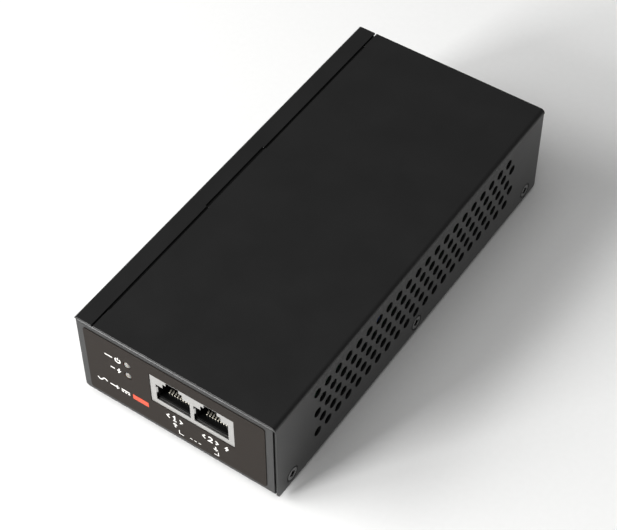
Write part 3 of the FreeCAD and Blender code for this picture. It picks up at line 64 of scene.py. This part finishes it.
# %% [markdown]
# ## Camera
# The view is taken with a long lens from the front right, looking down by about half a right angle. A
# long lens keeps the long edges nearly parallel. A camera can be aimed with a constraint, but an azimuth, an
# elevation and a roll say the same thing in three numbers and leave nothing live in the file.

# %% Make the camera
AZIMUTH = math.radians(34.736)
ELEVATION = math.radians(49.773)
ROLL = math.radians(-0.417)
LENS_MM, SENSOR_MM = 100.4, 36.0
# In metres: right of the frame's origin, in front of the front panel and above the underside.
STAND_RIGHT, STAND_FRONT, STAND_UP = 0.202835, 0.22270, 0.43480
FAR_END = 20.0
camera_data = bpy.data.cameras.new("camera")
camera_data.lens = LENS_MM
camera_data.sensor_width = SENSOR_MM
camera = bpy.data.objects.new("camera", camera_data)
bpy.context.scene.collection.objects.link(camera)
towards = Vector((-math.sin(AZIMUTH) * math.cos(ELEVATION), math.cos(AZIMUTH) * math.cos(ELEVATION),
                  -math.sin(ELEVATION)))
stand = Vector((STAND_RIGHT, front_y - STAND_FRONT, under_z + STAND_UP))
turn = towards.to_track_quat("-Z", "Y").to_matrix() @ Matrix.Rotation(ROLL, 3, "Z")
camera.matrix_world = Matrix.Translation(stand) @ turn.to_4x4()
camera_data.clip_end = FAR_END
bpy.context.scene.camera = camera
print("camera stands", round(stand.length, 3), "m from the origin")

# %% [markdown]
# ## Colour and nodes
# Colours are written as the sRGB hex values that a colour picker shows, and shaders work in linear light,
# so one function converts them. Another adds a node with its settings and its links, which keeps each
# material readable as a short list of what feeds what.

# %% Helpers for materials
MIX_FIRST, MIX_SECOND, MIX_RESULT = 6, 7, 2  # a mix node's sockets for colours, which share their names


def colour(hex_code):
    """sRGB hex to linear RGBA: below 0.04045 divide by 12.92, above it raise (c + 0.055) / 1.055 to 2.4."""
    parts = [int(hex_code[i:i + 2], 16) / 255 for i in (1, 3, 5)]
    return [c / 12.92 if c <= 0.04045 else ((c + 0.055) / 1.055) ** 2.4 for c in parts] + [1.0]


def add(tree, kind, inputs=None, **settings):
    """Add a node; an input given a socket is linked to it, and any other value is set on it."""
    made = tree.nodes.new(kind)
    for key, value in settings.items():
        setattr(made, key, value)
    for key, value in (inputs or {}).items():
        if isinstance(value, bpy.types.NodeSocket):
            tree.links.new(value, made.inputs[key])
        else:
            made.inputs[key].default_value = value
    return made


def start_material(name, **shader_values):
    """A material with one principled shader; returns it, its tree, the shader and object coordinates."""
    material = bpy.data.materials.new(name)
    material.use_nodes = True
    tree = material.node_tree
    tree.nodes.clear()
    shader = add(tree, "ShaderNodeBsdfPrincipled")
    for key, value in shader_values.items():
        shader.inputs[key.replace("_", " ")].default_value = value
    add(tree, "ShaderNodeOutputMaterial", {"Surface": shader.outputs["BSDF"]})
    place = add(tree, "ShaderNodeTexCoord").outputs["Object"]
    return material, tree, shader, place


def per_metre(size_mm):
    """Noise and Voronoi scale that gives one cell in this many millimetres."""
    return 1.0 / (size_mm * MM)


def maths(tree, operation, *values):
    """A maths node on these values, each a number or a socket; returns its result."""
    return add(tree, "ShaderNodeMath", dict(enumerate(values)), operation=operation).outputs[0]


def blend_colours(tree, factor, first, second):
    """Mix from the first colour to the second, each a value or a socket, as the factor goes from 0 to 1."""
    mix = add(tree, "ShaderNodeMix", {"Factor": factor}, data_type="RGBA")
    for socket, value in ((mix.inputs[MIX_FIRST], first), (mix.inputs[MIX_SECOND], second)):
        if isinstance(value, bpy.types.NodeSocket):
            tree.links.new(value, socket)
        else:
            socket.default_value = value
    return mix.outputs[MIX_RESULT]


def reopen(material):
    """A made material's tree, shader and object coordinates, for a finish that adds to it."""
    tree = material.node_tree
    shader = next(node for node in tree.nodes if node.type == "BSDF_PRINCIPLED")
    place = next(node for node in tree.nodes if node.type == "TEX_COORD").outputs["Object"]
    return tree, shader, place


painted = set()


def dress(material, *names):
    """Give these CAD nodes the material, in place of the plain one they came with."""
    for name in names:
        mesh = nodes[name].data
        mesh.materials.clear()
        mesh.materials.append(material)
    painted.update(names)
    print(material.name, "on", ", ".join(names))


print("helpers ready")

# %% [markdown]
# ## Moulded and coated surfaces
# Most small surfaces are one colour with a fine grain: moulded nylon and PBT, dipped epoxy, rubber.
# What tells them apart is how rough they are, how coarse the grain is and how deep it stands. One
# function takes those as real sizes, and each material is a named use of it.

# %% A function for grained, one-colour surfaces
MOTTLE_IN_GRAINS = 20  # the mottle's patches are this many grains wide
GRAIN_SMOOTHEST, GRAIN_ROUGHEST = 0.88, 1.12  # times the roughness, from one side of a grain to the other


def grained(name, hex_code, roughness, grain_mm, relief_mm, mottle=0.12, **shader_values):
    """Fine noise lifts the surface and varies its roughness; broad noise mottles its colour."""
    material, tree, shader, place = start_material(name, Roughness=roughness, **shader_values)
    grain = add(tree, "ShaderNodeTexNoise", {"Vector": place, "Scale": per_metre(grain_mm), "Detail": 3.0})
    broad = add(tree, "ShaderNodeTexNoise", {"Vector": place, "Detail": 2.0,
                                             "Scale": per_metre(grain_mm * MOTTLE_IN_GRAINS)})
    base = colour(hex_code)
    dark = [c * (1 - mottle) for c in base[:3]] + [1.0]
    light = [min(1.0, c * (1 + mottle)) for c in base[:3]] + [1.0]
    tint = blend_colours(tree, broad.outputs["Fac"], dark, light)
    tree.links.new(tint, shader.inputs["Base Color"])
    spread = add(tree, "ShaderNodeMapRange", {"Value": grain.outputs["Fac"],
                                              "To Min": roughness * GRAIN_SMOOTHEST,
                                              "To Max": min(1.0, roughness * GRAIN_ROUGHEST)})
    tree.links.new(spread.outputs["Result"], shader.inputs["Roughness"])
    bump = add(tree, "ShaderNodeBump", {"Height": grain.outputs["Fac"], "Strength": 1.0,
                                        "Distance": relief_mm * MM})
    tree.links.new(bump.outputs["Normal"], shader.inputs["Normal"])
    return material


# %% [markdown]
# ## Powder coat on the case
# The folded sheets carry a satin black polyester powder coat. Its grains fuse into a soft orange-peel
# about half a millimetre across, with a finer grit on it. It is nearly black, and what the eye reads is
# the broad, blurred reflection that the peel breaks up.

# %% Powder coat
EDGE_RADIUS = 0.2 * MM
PEEL_MM, GRIT_MM, CLOUD_MM = 0.45, 0.22, 14.0
PEEL_RELIEF_MM, GRIT_RELIEF_MM = 0.02, 0.008


def powder_coat():
    """Orange-peel noise and fine grit lift the surface; a bevel node rounds each sheared edge."""
    material, tree, shader, place = start_material("satin_powder_coat", Roughness=0.36, IOR=1.48)
    edge = add(tree, "ShaderNodeBevel", {"Radius": EDGE_RADIUS}, samples=6)
    peel = add(tree, "ShaderNodeTexNoise", {"Vector": place, "Scale": per_metre(PEEL_MM), "Detail": 2.0,
                                            "Roughness": 0.6})
    grit = add(tree, "ShaderNodeTexVoronoi", {"Vector": place, "Scale": per_metre(GRIT_MM)},
               feature="SMOOTH_F1")
    cloud = add(tree, "ShaderNodeTexNoise", {"Vector": place, "Scale": per_metre(CLOUD_MM), "Detail": 3.0})
    tint = blend_colours(tree, cloud.outputs["Fac"], colour("#161616"), colour("#1c1c1c"))
    tree.links.new(tint, shader.inputs["Base Color"])
    rough = add(tree, "ShaderNodeMapRange", {"Value": cloud.outputs["Fac"], "To Min": 0.32, "To Max": 0.40})
    tree.links.new(rough.outputs["Result"], shader.inputs["Roughness"])
    low = add(tree, "ShaderNodeBump", {"Height": peel.outputs["Fac"], "Distance": PEEL_RELIEF_MM * MM,
                                       "Strength": 1.0, "Normal": edge.outputs["Normal"]})
    fine = add(tree, "ShaderNodeBump", {"Height": grit.outputs["Distance"], "Distance": GRIT_RELIEF_MM * MM,
                                        "Strength": 1.0, "Normal": low.outputs["Normal"]})
    tree.links.new(fine.outputs["Normal"], shader.inputs["Normal"])
    return material


dress(powder_coat(), "base_chassis", "top_cover")

# %% [markdown]
# ## Plated and bare metals
# A plated part is a mirror that has been blurred along the direction it was rolled. Stretching a noise
# along one axis gives those lines, and the metal's own colour does the rest.

# %% A function for metals
STAIN_MM = 3.0
STAIN_DARKEST = 0.9  # times the metal's colour
LINE_SMOOTHEST, LINE_ROUGHEST = 0.8, 1.25  # times the roughness, from one line to the next


def metal(name, hex_code, roughness, line_mm=0.06, stretch=(40.0, 1.0, 1.0), relief_mm=0.0015):
    """Noise squeezed to line_mm across the lines and drawn out along the axis with the large stretch."""
    material, tree, shader, place = start_material(name, Roughness=roughness, Metallic=1.0)
    drawn = add(tree, "ShaderNodeMapping", {"Vector": place, "Scale": [1.0 / s for s in stretch]})
    lines = add(tree, "ShaderNodeTexNoise", {"Vector": drawn.outputs["Vector"], "Scale": per_metre(line_mm),
                                             "Detail": 3.0})
    stain = add(tree, "ShaderNodeTexNoise", {"Vector": place, "Scale": per_metre(STAIN_MM), "Detail": 2.0})
    base = colour(hex_code)
    stained = [c * STAIN_DARKEST for c in base[:3]] + [1.0]
    tint = blend_colours(tree, stain.outputs["Fac"], stained, base)
    tree.links.new(tint, shader.inputs["Base Color"])
    rough = add(tree, "ShaderNodeMapRange", {"Value": lines.outputs["Fac"],
                                             "To Min": roughness * LINE_SMOOTHEST,
                                             "To Max": min(1.0, roughness * LINE_ROUGHEST)})
    tree.links.new(rough.outputs["Result"], shader.inputs["Roughness"])
    bump = add(tree, "ShaderNodeBump", {"Height": lines.outputs["Fac"], "Distance": relief_mm * MM,
                                        "Strength": 1.0})
    tree.links.new(bump.outputs["Normal"], shader.inputs["Normal"])
    return material


dress(metal("nickel_plate", "#c2c1bf", 0.38), "jack_shield", "inlet_blades")
dress(metal("zinc_plate", "#c9cac8", 0.36, line_mm=0.1, stretch=(1.0, 1.0, 1.0)),
      "board_screws", "inlet_screws", "inlet_nuts", "earth_screw", "earth_nut", "transistor_screws",
      "main_standoffs", "data_standoffs")
dress(metal("tin_plate", "#cfd0cd", 0.32), "link_pins", "contact_leads", "earth_lug")
dress(metal("mill_aluminium", "#c4c6c8", 0.38, line_mm=0.12, stretch=(1.0, 1.0, 30.0)),
      "primary_heatsink", "secondary_heatsink")

# %% [markdown]
# ## Black zinc on the cover's screws, with painted shade
# Zinc plate is turned black in a chromate bath, and the land of the head is a dull grey. The rim, in the
# gap round the head, and the cross recess are painted near black as their shade, so the tone depends on
# the distance from each screw's axis. The three axes are evenly spaced: taking the distance from the middle
# one folds the two end axes together, and the smaller of the distances to the middle and to an end is the
# nearest.

# %% Black zinc, with painted shade on the rim and in the recess
HEAD_RADIUS_MM = 2.6
RIM_SHADE_START_MM, RIM_SHADE_FULL_MM = 0.45, 0.3  # in from the head's edge, where the painted shade begins and is full
# Out from the axis: how far the recess's painted shade reaches, and the width over which it fades out.
RECESS_SHADE_REACH_MM, RECESS_SHADE_FADE_MM = 1.2, 0.3


def black_zinc_painted_shade():
    """Distance from the nearest screw axis picks the recess's painted shade, the grey land or the rim's
    painted shade.
    """
    material = metal("black_zinc_plate_painted_shade", "#858585", 0.45, line_mm=0.1, stretch=(1.0, 1.0, 1.0))
    tree, shader, place = reopen(material)
    low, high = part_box("cover_screws")
    middle = (low + high) / 2
    end_screw = (high.y - low.y) / 2 - HEAD_RADIUS_MM * MM
    axes = add(tree, "ShaderNodeSeparateXYZ", {"Vector": place})
    to_middle = maths(tree, "ABSOLUTE", maths(tree, "SUBTRACT", axes.outputs["Y"], middle.y))
    to_end = maths(tree, "ABSOLUTE", maths(tree, "SUBTRACT", to_middle, end_screw))
    across = maths(tree, "MINIMUM", to_middle, to_end)
    rise = maths(tree, "SUBTRACT", axes.outputs["Z"], middle.z)
    flat = add(tree, "ShaderNodeCombineXYZ", {"X": across, "Y": rise})
    length = add(tree, "ShaderNodeVectorMath", {0: flat.outputs["Vector"]}, operation="LENGTH")
    radius = length.outputs["Value"]
    rim_shade = add(tree, "ShaderNodeMapRange", {"Value": radius, "From Min": (HEAD_RADIUS_MM - RIM_SHADE_START_MM) * MM,
                                           "From Max": (HEAD_RADIUS_MM - RIM_SHADE_FULL_MM) * MM})
    recess_shade = add(tree, "ShaderNodeMapRange", {"Value": radius, "From Min": RECESS_SHADE_REACH_MM * MM,
                                             "From Max": (RECESS_SHADE_REACH_MM - RECESS_SHADE_FADE_MM) * MM})
    # Painted shade: the near black of the rim and the recess stands for the shadow in the gap round the head
    # and in the recess.
    painted_shade = maths(tree, "MAXIMUM", rim_shade.outputs["Result"], recess_shade.outputs["Result"])
    grey = shader.inputs["Base Color"].links[0].from_socket
    # 0c0c0c is the colour of that painted shade.
    tint = blend_colours(tree, painted_shade, grey, colour("#0c0c0c"))
    tree.links.new(tint, shader.inputs["Base Color"])
    return material


dress(black_zinc_painted_shade(), "cover_screws")

# %% [markdown]
# ## Gold-plated spring contacts
# A socket's springs are stamped from phosphor bronze strip, nickel plated all over and gold plated only
# where a plug touches them. Seen into the socket, the knee at the front catches the light and the rest lies
# in the shade of the dark moulding; that shade is painted, so the colour runs from a pale metal to near
# black along depth.

# %% Gold on the contacts, with painted shade along depth
SHADE_FROM_MM, SHADE_FULL_MM = 2.6, 4.0  # behind the front panel, where the painted shade begins and where it is full


def contact_plating_painted_shade(shade_from_mm, shade_full_mm):
    """The colour goes from the pale metal of the knee to a painted shade, near black, between two depths
    behind the front panel.
    """
    material = metal("selective_gold_plate_painted_shade", "#8e8a80", 0.45, line_mm=0.03, stretch=(1.0, 30.0, 30.0))
    tree, shader, place = reopen(material)
    depth = add(tree, "ShaderNodeSeparateXYZ", {"Vector": place}).outputs["Y"]
    depth_shade = add(tree, "ShaderNodeMapRange", {"Value": depth, "From Min": front_y + shade_from_mm * MM,
                                            "From Max": front_y + shade_full_mm * MM})
    knee = shader.inputs["Base Color"].links[0].from_socket
    # Painted shade: deeper in the socket the contacts turn near black (#14120f), standing for the shade of
    # the moulding round them.
    tint = blend_colours(tree, depth_shade.outputs["Result"], knee, colour("#14120f"))
    tree.links.new(tint, shader.inputs["Base Color"])
    return material


dress(contact_plating_painted_shade(SHADE_FROM_MM, SHADE_FULL_MM), "data_in_contacts", "poe_out_contacts")

# %% [markdown]
# ## Plastics, rubber and ceramics
# Each name says what the piece is made of; the grain and relief are those of its mould or its dip. One
# table holds them all, since the materials differ only in these measures.

# %% Plastics, rubber and ceramics
# Each row: name, colour, roughness, grain in mm, relief in mm, anything more, and the pieces.
FINISHES = [
    # A matt lacquer keeps the film dark at every angle, so the white ink stands out on it.
    ("matt_polycarbonate_film", "#1d1712", 0.6, 0.12, 0.004, {"mottle": 0.06, "Specular_IOR_Level": 0.18},
     ["front_label"]),
    # The sockets' insides are lost in black, and only the contacts show.
    ("moulded_black_pbt", "#060606", 0.7, 0.3, 0.006, {"Specular_IOR_Level": 0.1}, ["jack_housing"]),
    # Glass fibre near the skin dulls the highlight of a small dark moulding.
    ("glass_filled_nylon", "#1a1a1a", 0.42, 0.3, 0.006, {},
     ["link_header", "led_holder", "choke_base", "transformer_bobbin", "inlet_housing"]),
    # Undyed nylon is a warm off-white, the palest thing on the board.
    ("natural_nylon", "#e3e0d6", 0.45, 0.4, 0.004, {}, ["mains_header", "mains_plug"]),
    # Light spreads inside the milky lens, so an unlit lamp is a soft grey with no hard shadow.
    ("diffused_lens_resin", "#7d7a76", 0.35, 0.6, 0.001,
     {"mottle": 0.04, "Subsurface_Weight": 0.25, "Subsurface_Scale": 0.001}, ["power_led", "poe_led"]),
    # Rubber takes the coat's black without its highlight, which makes the feet look soft.
    ("moulded_rubber", "#161616", 0.78, 0.25, 0.02, {}, ["rubber_feet"]),
    # A pale milky sheet between the board and the case.
    ("polypropylene_film", "#c9c8bf", 0.4, 0.5, 0.004, {}, ["insulating_film"]),
    # Filled epoxy comes out of its mould a cool, even near-black.
    ("moulding_epoxy", "#1d1d1f", 0.5, 0.15, 0.006, {},
     ["lan_transformers", "poe_controller", "bridge_rectifier", "primary_transistor", "output_rectifier",
      "optocouplers", "fuse"]),
    # The three cores differ in colour alone, as a wiring rule wants.
    ("brown_pvc", "#5a3a22", 0.4, 0.4, 0.004, {}, ["line_wire"]),
    ("blue_pvc", "#1f5fae", 0.4, 0.4, 0.004, {}, ["neutral_wire"]),
    ("green_pvc", "#3f9a3c", 0.4, 0.4, 0.004, {}, ["earth_wire"]),
    # A dip runs before it sets, so these are glossy with a broad, lumpy relief.
    ("dipped_blue_epoxy", "#1c4fa0", 0.25, 1.2, 0.02, {}, ["varistor", "y_capacitors"]),
    ("dipped_green_epoxy", "#1d4a30", 0.3, 1.2, 0.02, {}, ["thermistor"]),
    # A moulded box is as plain as the wires, in the yellow of film capacitors.
    ("yellow_moulded_case", "#d9b92a", 0.4, 0.4, 0.004, {}, ["film_capacitor"]),
    # Ferrite is pressed from powder, so it is a dull charcoal with a deep, dusty grain.
    ("sintered_ferrite", "#37383a", 0.62, 0.2, 0.012, {},
     ["choke_core", "transformer_core", "output_choke_core"]),
    # A sleeve shrinks smooth over the can and shines with long, soft ripples.
    ("heat_shrunk_sleeve", "#1b1d22", 0.28, 2.0, 0.01, {}, ["bulk_capacitor", "output_capacitors"]),
    # Wound tape is bright yellow and a little glossy.
    ("polyester_tape", "#e2b81f", 0.3, 1.0, 0.006, {}, ["transformer_winding"]),
    # Silicone is matt grey, and shows where a hot part meets its metal.
    ("silicone_pad", "#8f9296", 0.7, 0.3, 0.01, {}, ["insulating_pads"]),
    # Resist lies over copper and bare laminate alike, which mottles its green more than the rest.
    ("solder_resist", "#0f4a2c", 0.34, 0.8, 0.004, {"mottle": 0.2}, ["main_board", "data_board"]),
    # Each turn of varnished wire catches its own glint, which the deepest relief here stands for.
    ("enamelled_copper", "#b0622e", 0.3, 0.6, 0.03, {}, ["choke_windings", "output_choke_winding"]),
]
for name, hex_code, roughness, grain_mm, relief_mm, more, pieces in FINISHES:
    dress(grained(name, hex_code, roughness, grain_mm, relief_mm, **more), *pieces)
print("unpainted:", sorted(set(nodes) - painted))

# %% [markdown]
# ## Printed marks on the front label
# The label's marks are screen printed: a film of white ink a few hundredths of a millimetre thick, with
# square-cut edges. They could be drawn in the label's material with masks, but as thin pieces they keep
# crisp edges at any distance. Each stroke is a ribbon of constant width along a path, and every mark is
# a generic sign: a standby ring, a bolt, numerals with arrows, a bracket and signs for alternating and
# direct current.

# %% Ribbons of ink
INK = 0.03 * MM
ink_face = label_low.y - INK


def ribbon(points, width, closed=False):
    """Offset each point of a path half the width to both sides along the mitred normal, as quads.

    At a corner the normal is the mean of its two runs' normals, made longer by one over the cosine of
    half the turn, so the ribbon keeps its width. Returns (x, z) places and quads.
    """
    path = np.asarray(points, float)
    runs = np.diff(np.vstack([path, path[:1]]) if closed else path, axis=0)
    runs /= np.linalg.norm(runs, axis=1)[:, None]
    normals = np.stack([-runs[:, 1], runs[:, 0]], axis=1)
    before = np.roll(normals, 1, axis=0) if closed else np.vstack([normals[:1], normals])
    after = normals if closed else np.vstack([normals, normals[-1:]])
    middle = before + after
    middle /= (middle * middle).sum(axis=1)[:, None] / 2
    places = np.vstack([path + middle * width / 2, path - middle * width / 2])
    count = len(path)
    first = np.arange(count if closed else count - 1)
    second = (first + 1) % count
    return places, np.stack([first, first + count, second + count, second], axis=1)


def arc(centre, radius, start, end, steps=24):
    """Points on a circle from one angle to another, in degrees from the right, turning to the left."""
    turn = np.radians(np.linspace(start, end, steps))
    return np.stack([centre[0] + radius * np.cos(turn), centre[1] + radius * np.sin(turn)], axis=1)


def printed(name, ribbons, material):
    """Join ribbons given in (x, z) metres into one thin closed piece that stands INK off the label.

    The flat ribbons are laid on the ink's outer face and given their thickness back to the label.
    """
    places, faces, count = [], [], 0
    for spots, quads in ribbons:
        places.append(spots)
        faces.append(quads + count)
        count += len(spots)
    flat = np.vstack(places)
    quads = np.vstack(faces)
    front = np.column_stack([flat[:, 0], np.full(count, ink_face), flat[:, 1]])
    mesh = bpy.data.meshes.new(name)
    mesh.from_pydata(front.tolist(), [], quads.tolist())
    sheet = bmesh.new()
    sheet.from_mesh(mesh)
    bmesh.ops.recalc_face_normals(sheet, faces=sheet.faces)
    if sum(face.normal.y for face in sheet.faces) > 0:
        bmesh.ops.reverse_faces(sheet, faces=sheet.faces)
    rise = bmesh.ops.extrude_face_region(sheet, geom=list(sheet.faces))
    for corner in rise["geom"]:
        if isinstance(corner, bmesh.types.BMVert):
            corner.co.y += INK
    bmesh.ops.recalc_face_normals(sheet, faces=sheet.faces)
    sheet.to_mesh(mesh)
    sheet.free()
    mesh.materials.append(material)
    made = bpy.data.objects.new(name, mesh)
    bpy.context.scene.collection.objects.link(made)
    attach(made, "enclosure")
    print(name, len(mesh.polygons), "faces")


# %% The marks
def placed(points_mm, x_mm, height_mm):
    """Points about a spot on the label, right of its left edge and above the bottom sheet, in metres."""
    spot = np.array([label_low.x + x_mm * MM, under_z + height_mm * MM])
    return spot + np.asarray(points_mm, float) * MM


def strokes(x_mm, height_mm, paths, width_mm):
    """Ribbons of one width along paths, each a list of points and whether it closes on itself."""
    return [ribbon(placed(path, x_mm, height_mm), width_mm * MM, closed) for path, closed in paths]


def arrow(length, head):
    """A shaft with two barbs, pointing up from its foot."""
    barbs = [(-head, length - head), (0, length), (head, length - head)]
    return [([(0, 0), (0, length)], False), (barbs, False)]


# Stroke widths, then places, all in mm: x from the label's left edge, height above the bottom sheet.
BOLD, FINE, BAR = 0.5, 0.3, 2.2
LAMP_SIGN_X = 12.6
POWER_HEIGHT, POE_HEIGHT = 24.24, 19.16
NUMERAL_HEIGHT, ARROW_FOOT, BRACKET_FOOT, DASH_HEIGHT = 10.3, 6.0, 3.9, 4.6
SUPPLY_HEIGHT = 9.6
PORT_PITCH = 13.97
ARROW_LENGTH = 1.9
white_ink = grained("screen_printed_white_ink", "#dcdad6", 0.6, 0.1, 0.002, 0.04)
orange_ink = grained("screen_printed_orange_ink", "#c8452a", 0.55, 0.1, 0.002, 0.04)
standby = [(arc((0, 0), 0.95, 125, 415), False), ([(0, 0.1), (0, 1.25)], False)]
bolt = [([(0.35, 1.15), (-0.4, 0.0), (0.4, 0.0), (-0.35, -1.15)], False)]
power = (strokes(LAMP_SIGN_X, POWER_HEIGHT, standby, BOLD)
         + strokes(7.6, POWER_HEIGHT, [([(0, 0), (2.9, 0)], False)], BOLD))
printed("power_mark", power, white_ink)
active = (strokes(LAMP_SIGN_X, POE_HEIGHT, bolt, BOLD)
          + strokes(9.4, POE_HEIGHT, [([(0, 0), (1.6, 0)], False)], BOLD))
printed("poe_mark", active, white_ink)

# %% Marks under the ports and at the left
one = [([(-0.55, 0.6), (0, 1.15), (0, -1.15)], False), ([(-0.6, -1.15), (0.6, -1.15)], False)]
two = [(np.vstack([arc((0, 0.5), 0.65, 165, -40), [(-0.7, -1.15), (0.75, -1.15)]]), False)]
less = [([(0.45, 0.9), (-0.45, 0), (0.45, -0.9)], False)]
more = [([(-0.45, 0.9), (0.45, 0), (-0.45, -0.9)], False)]
up = arrow(ARROW_LENGTH, 0.7)
down = [([(-x, -y) for x, y in path], closed) for path, closed in up]
middle_x = ((shield_low.x + shield_high.x) / 2 - label_low.x) / MM
port_1, port_2 = middle_x - PORT_PITCH / 2, middle_x + PORT_PITCH / 2
data_in = (strokes(port_1 - 2.4, NUMERAL_HEIGHT, less, BOLD) + strokes(port_1, NUMERAL_HEIGHT, one, BOLD)
           + strokes(port_1 + 2.4, NUMERAL_HEIGHT, more, BOLD) + strokes(port_1, ARROW_FOOT, up, BOLD))
printed("data_in_mark", data_in, white_ink)
poe_out = (strokes(port_2 - 3.0, NUMERAL_HEIGHT, less, BOLD)
           + strokes(port_2 - 0.6, NUMERAL_HEIGHT, two, BOLD)
           + strokes(port_2 + 1.8, NUMERAL_HEIGHT, more, BOLD)
           + strokes(port_2 + 5.4, NUMERAL_HEIGHT, bolt, BOLD)
           + strokes(port_2 + 1.2, ARROW_FOOT + ARROW_LENGTH, down, BOLD))
printed("poe_out_mark", poe_out, white_ink)
left_bracket = [([(0, 1.7), (0, 0), (1.6, 0)], False)]
right_bracket = [([(0, 1.7), (0, 0), (-1.6, 0)], False)]
dashes = [([(x, 0), (x + 0.9, 0)], False) for x in (0.0, 1.6, 3.2)]
brackets = (strokes(port_1 + 1.4, BRACKET_FOOT, left_bracket, FINE)
            + strokes(port_2 + 2.1, BRACKET_FOOT, right_bracket, FINE)
            + strokes(port_1 + 5.4, DASH_HEIGHT, dashes, FINE))
printed("port_brackets", brackets, white_ink)
WAVE_REACH, WAVE_RISE = 1.9, 0.75
wave_x = np.linspace(-WAVE_REACH, WAVE_REACH, 25)
wave = np.stack([wave_x, WAVE_RISE * np.sin(wave_x * math.pi / WAVE_REACH)], axis=1)
direct = [([(-1.6, 0.45), (1.6, 0.45)], False)]
direct += [([(x, -0.45), (x + 0.8, -0.45)], False) for x in (-1.6, -0.4, 0.8)]
across = [([(y, x) for x, y in path], closed) for path, closed in arrow(3.2, 0.75)]
supply = (strokes(5.2, SUPPLY_HEIGHT, [(wave, False)], BOLD) + strokes(8.2, SUPPLY_HEIGHT, across, BOLD)
          + strokes(14.2, SUPPLY_HEIGHT, direct, BOLD))
printed("supply_mark", supply, white_ink)
printed("orange_bar", strokes(20.0, SUPPLY_HEIGHT, [([(-3.0, 0), (3.0, 0)], False)], BAR), orange_ink)

# %% [markdown]
# ## Floor and light
# A plain pale floor carries the object, and soft boxes light it. Satin black is read by its reflections:
# the front and the side mirror the bright floor, and the top mirrors what is above and behind, so that
# part of the studio is kept dim and the large lights stand in front and to the left.

# %% Floor, light boxes and surroundings
FLOOR_REACH = 3.0
SURROUNDINGS_STRENGTH = 0.15


def floor():
    """A sheet of pale paper at height 0, reaching this many metres each way."""
    reach = FLOOR_REACH
    mesh = bpy.data.meshes.new("floor")
    corners = [(-reach, -reach, 0), (reach, -reach, 0), (reach, reach, 0), (-reach, reach, 0)]
    mesh.from_pydata(corners, [], [(0, 1, 2, 3)])
    made = bpy.data.objects.new("floor", mesh)
    bpy.context.scene.collection.objects.link(made)
    material, tree, shader, place = start_material("pale_paper", Roughness=0.9)
    fibre = add(tree, "ShaderNodeTexNoise", {"Vector": place, "Scale": per_metre(2.0), "Detail": 4.0})
    tint = blend_colours(tree, fibre.outputs["Fac"], colour("#f2f2f1"), colour("#f6f6f5"))
    tree.links.new(tint, shader.inputs["Base Color"])
    mesh.materials.append(material)


def light_box(name, at, aim, size, watts):
    """An area light that stands at one place and faces another, with its width and height in metres."""
    data = bpy.data.lights.new(name, "AREA")
    data.shape = "RECTANGLE"
    data.size, data.size_y = size
    data.energy = watts
    made = bpy.data.objects.new(name, data)
    made.location = at
    made.rotation_euler = (Vector(aim) - Vector(at)).to_track_quat("-Z", "Y").to_euler()
    bpy.context.scene.collection.objects.link(made)


floor()
light_box("key", at=(-0.95, -0.65, 0.72), aim=(0, 0, 0), size=(0.8, 0.7), watts=14.0)
light_box("front", at=(-0.5, -1.15, 0.42), aim=(0, -0.08, 0.02), size=(0.4, 0.6), watts=20.0)
light_box("overhead", at=(0.0, -0.3, 1.3), aim=(0, 0, 0), size=(1.2, 0.8), watts=5.5)
world = bpy.data.worlds.new("surroundings")
bpy.context.scene.world = world
world.use_nodes = True
background = world.node_tree.nodes["Background"]
background.inputs["Color"].default_value = colour("#ffffff")
background.inputs["Strength"].default_value = SURROUNDINGS_STRENGTH
bpy.context.scene.view_settings.view_transform = "Standard"
print("floor and three light boxes")
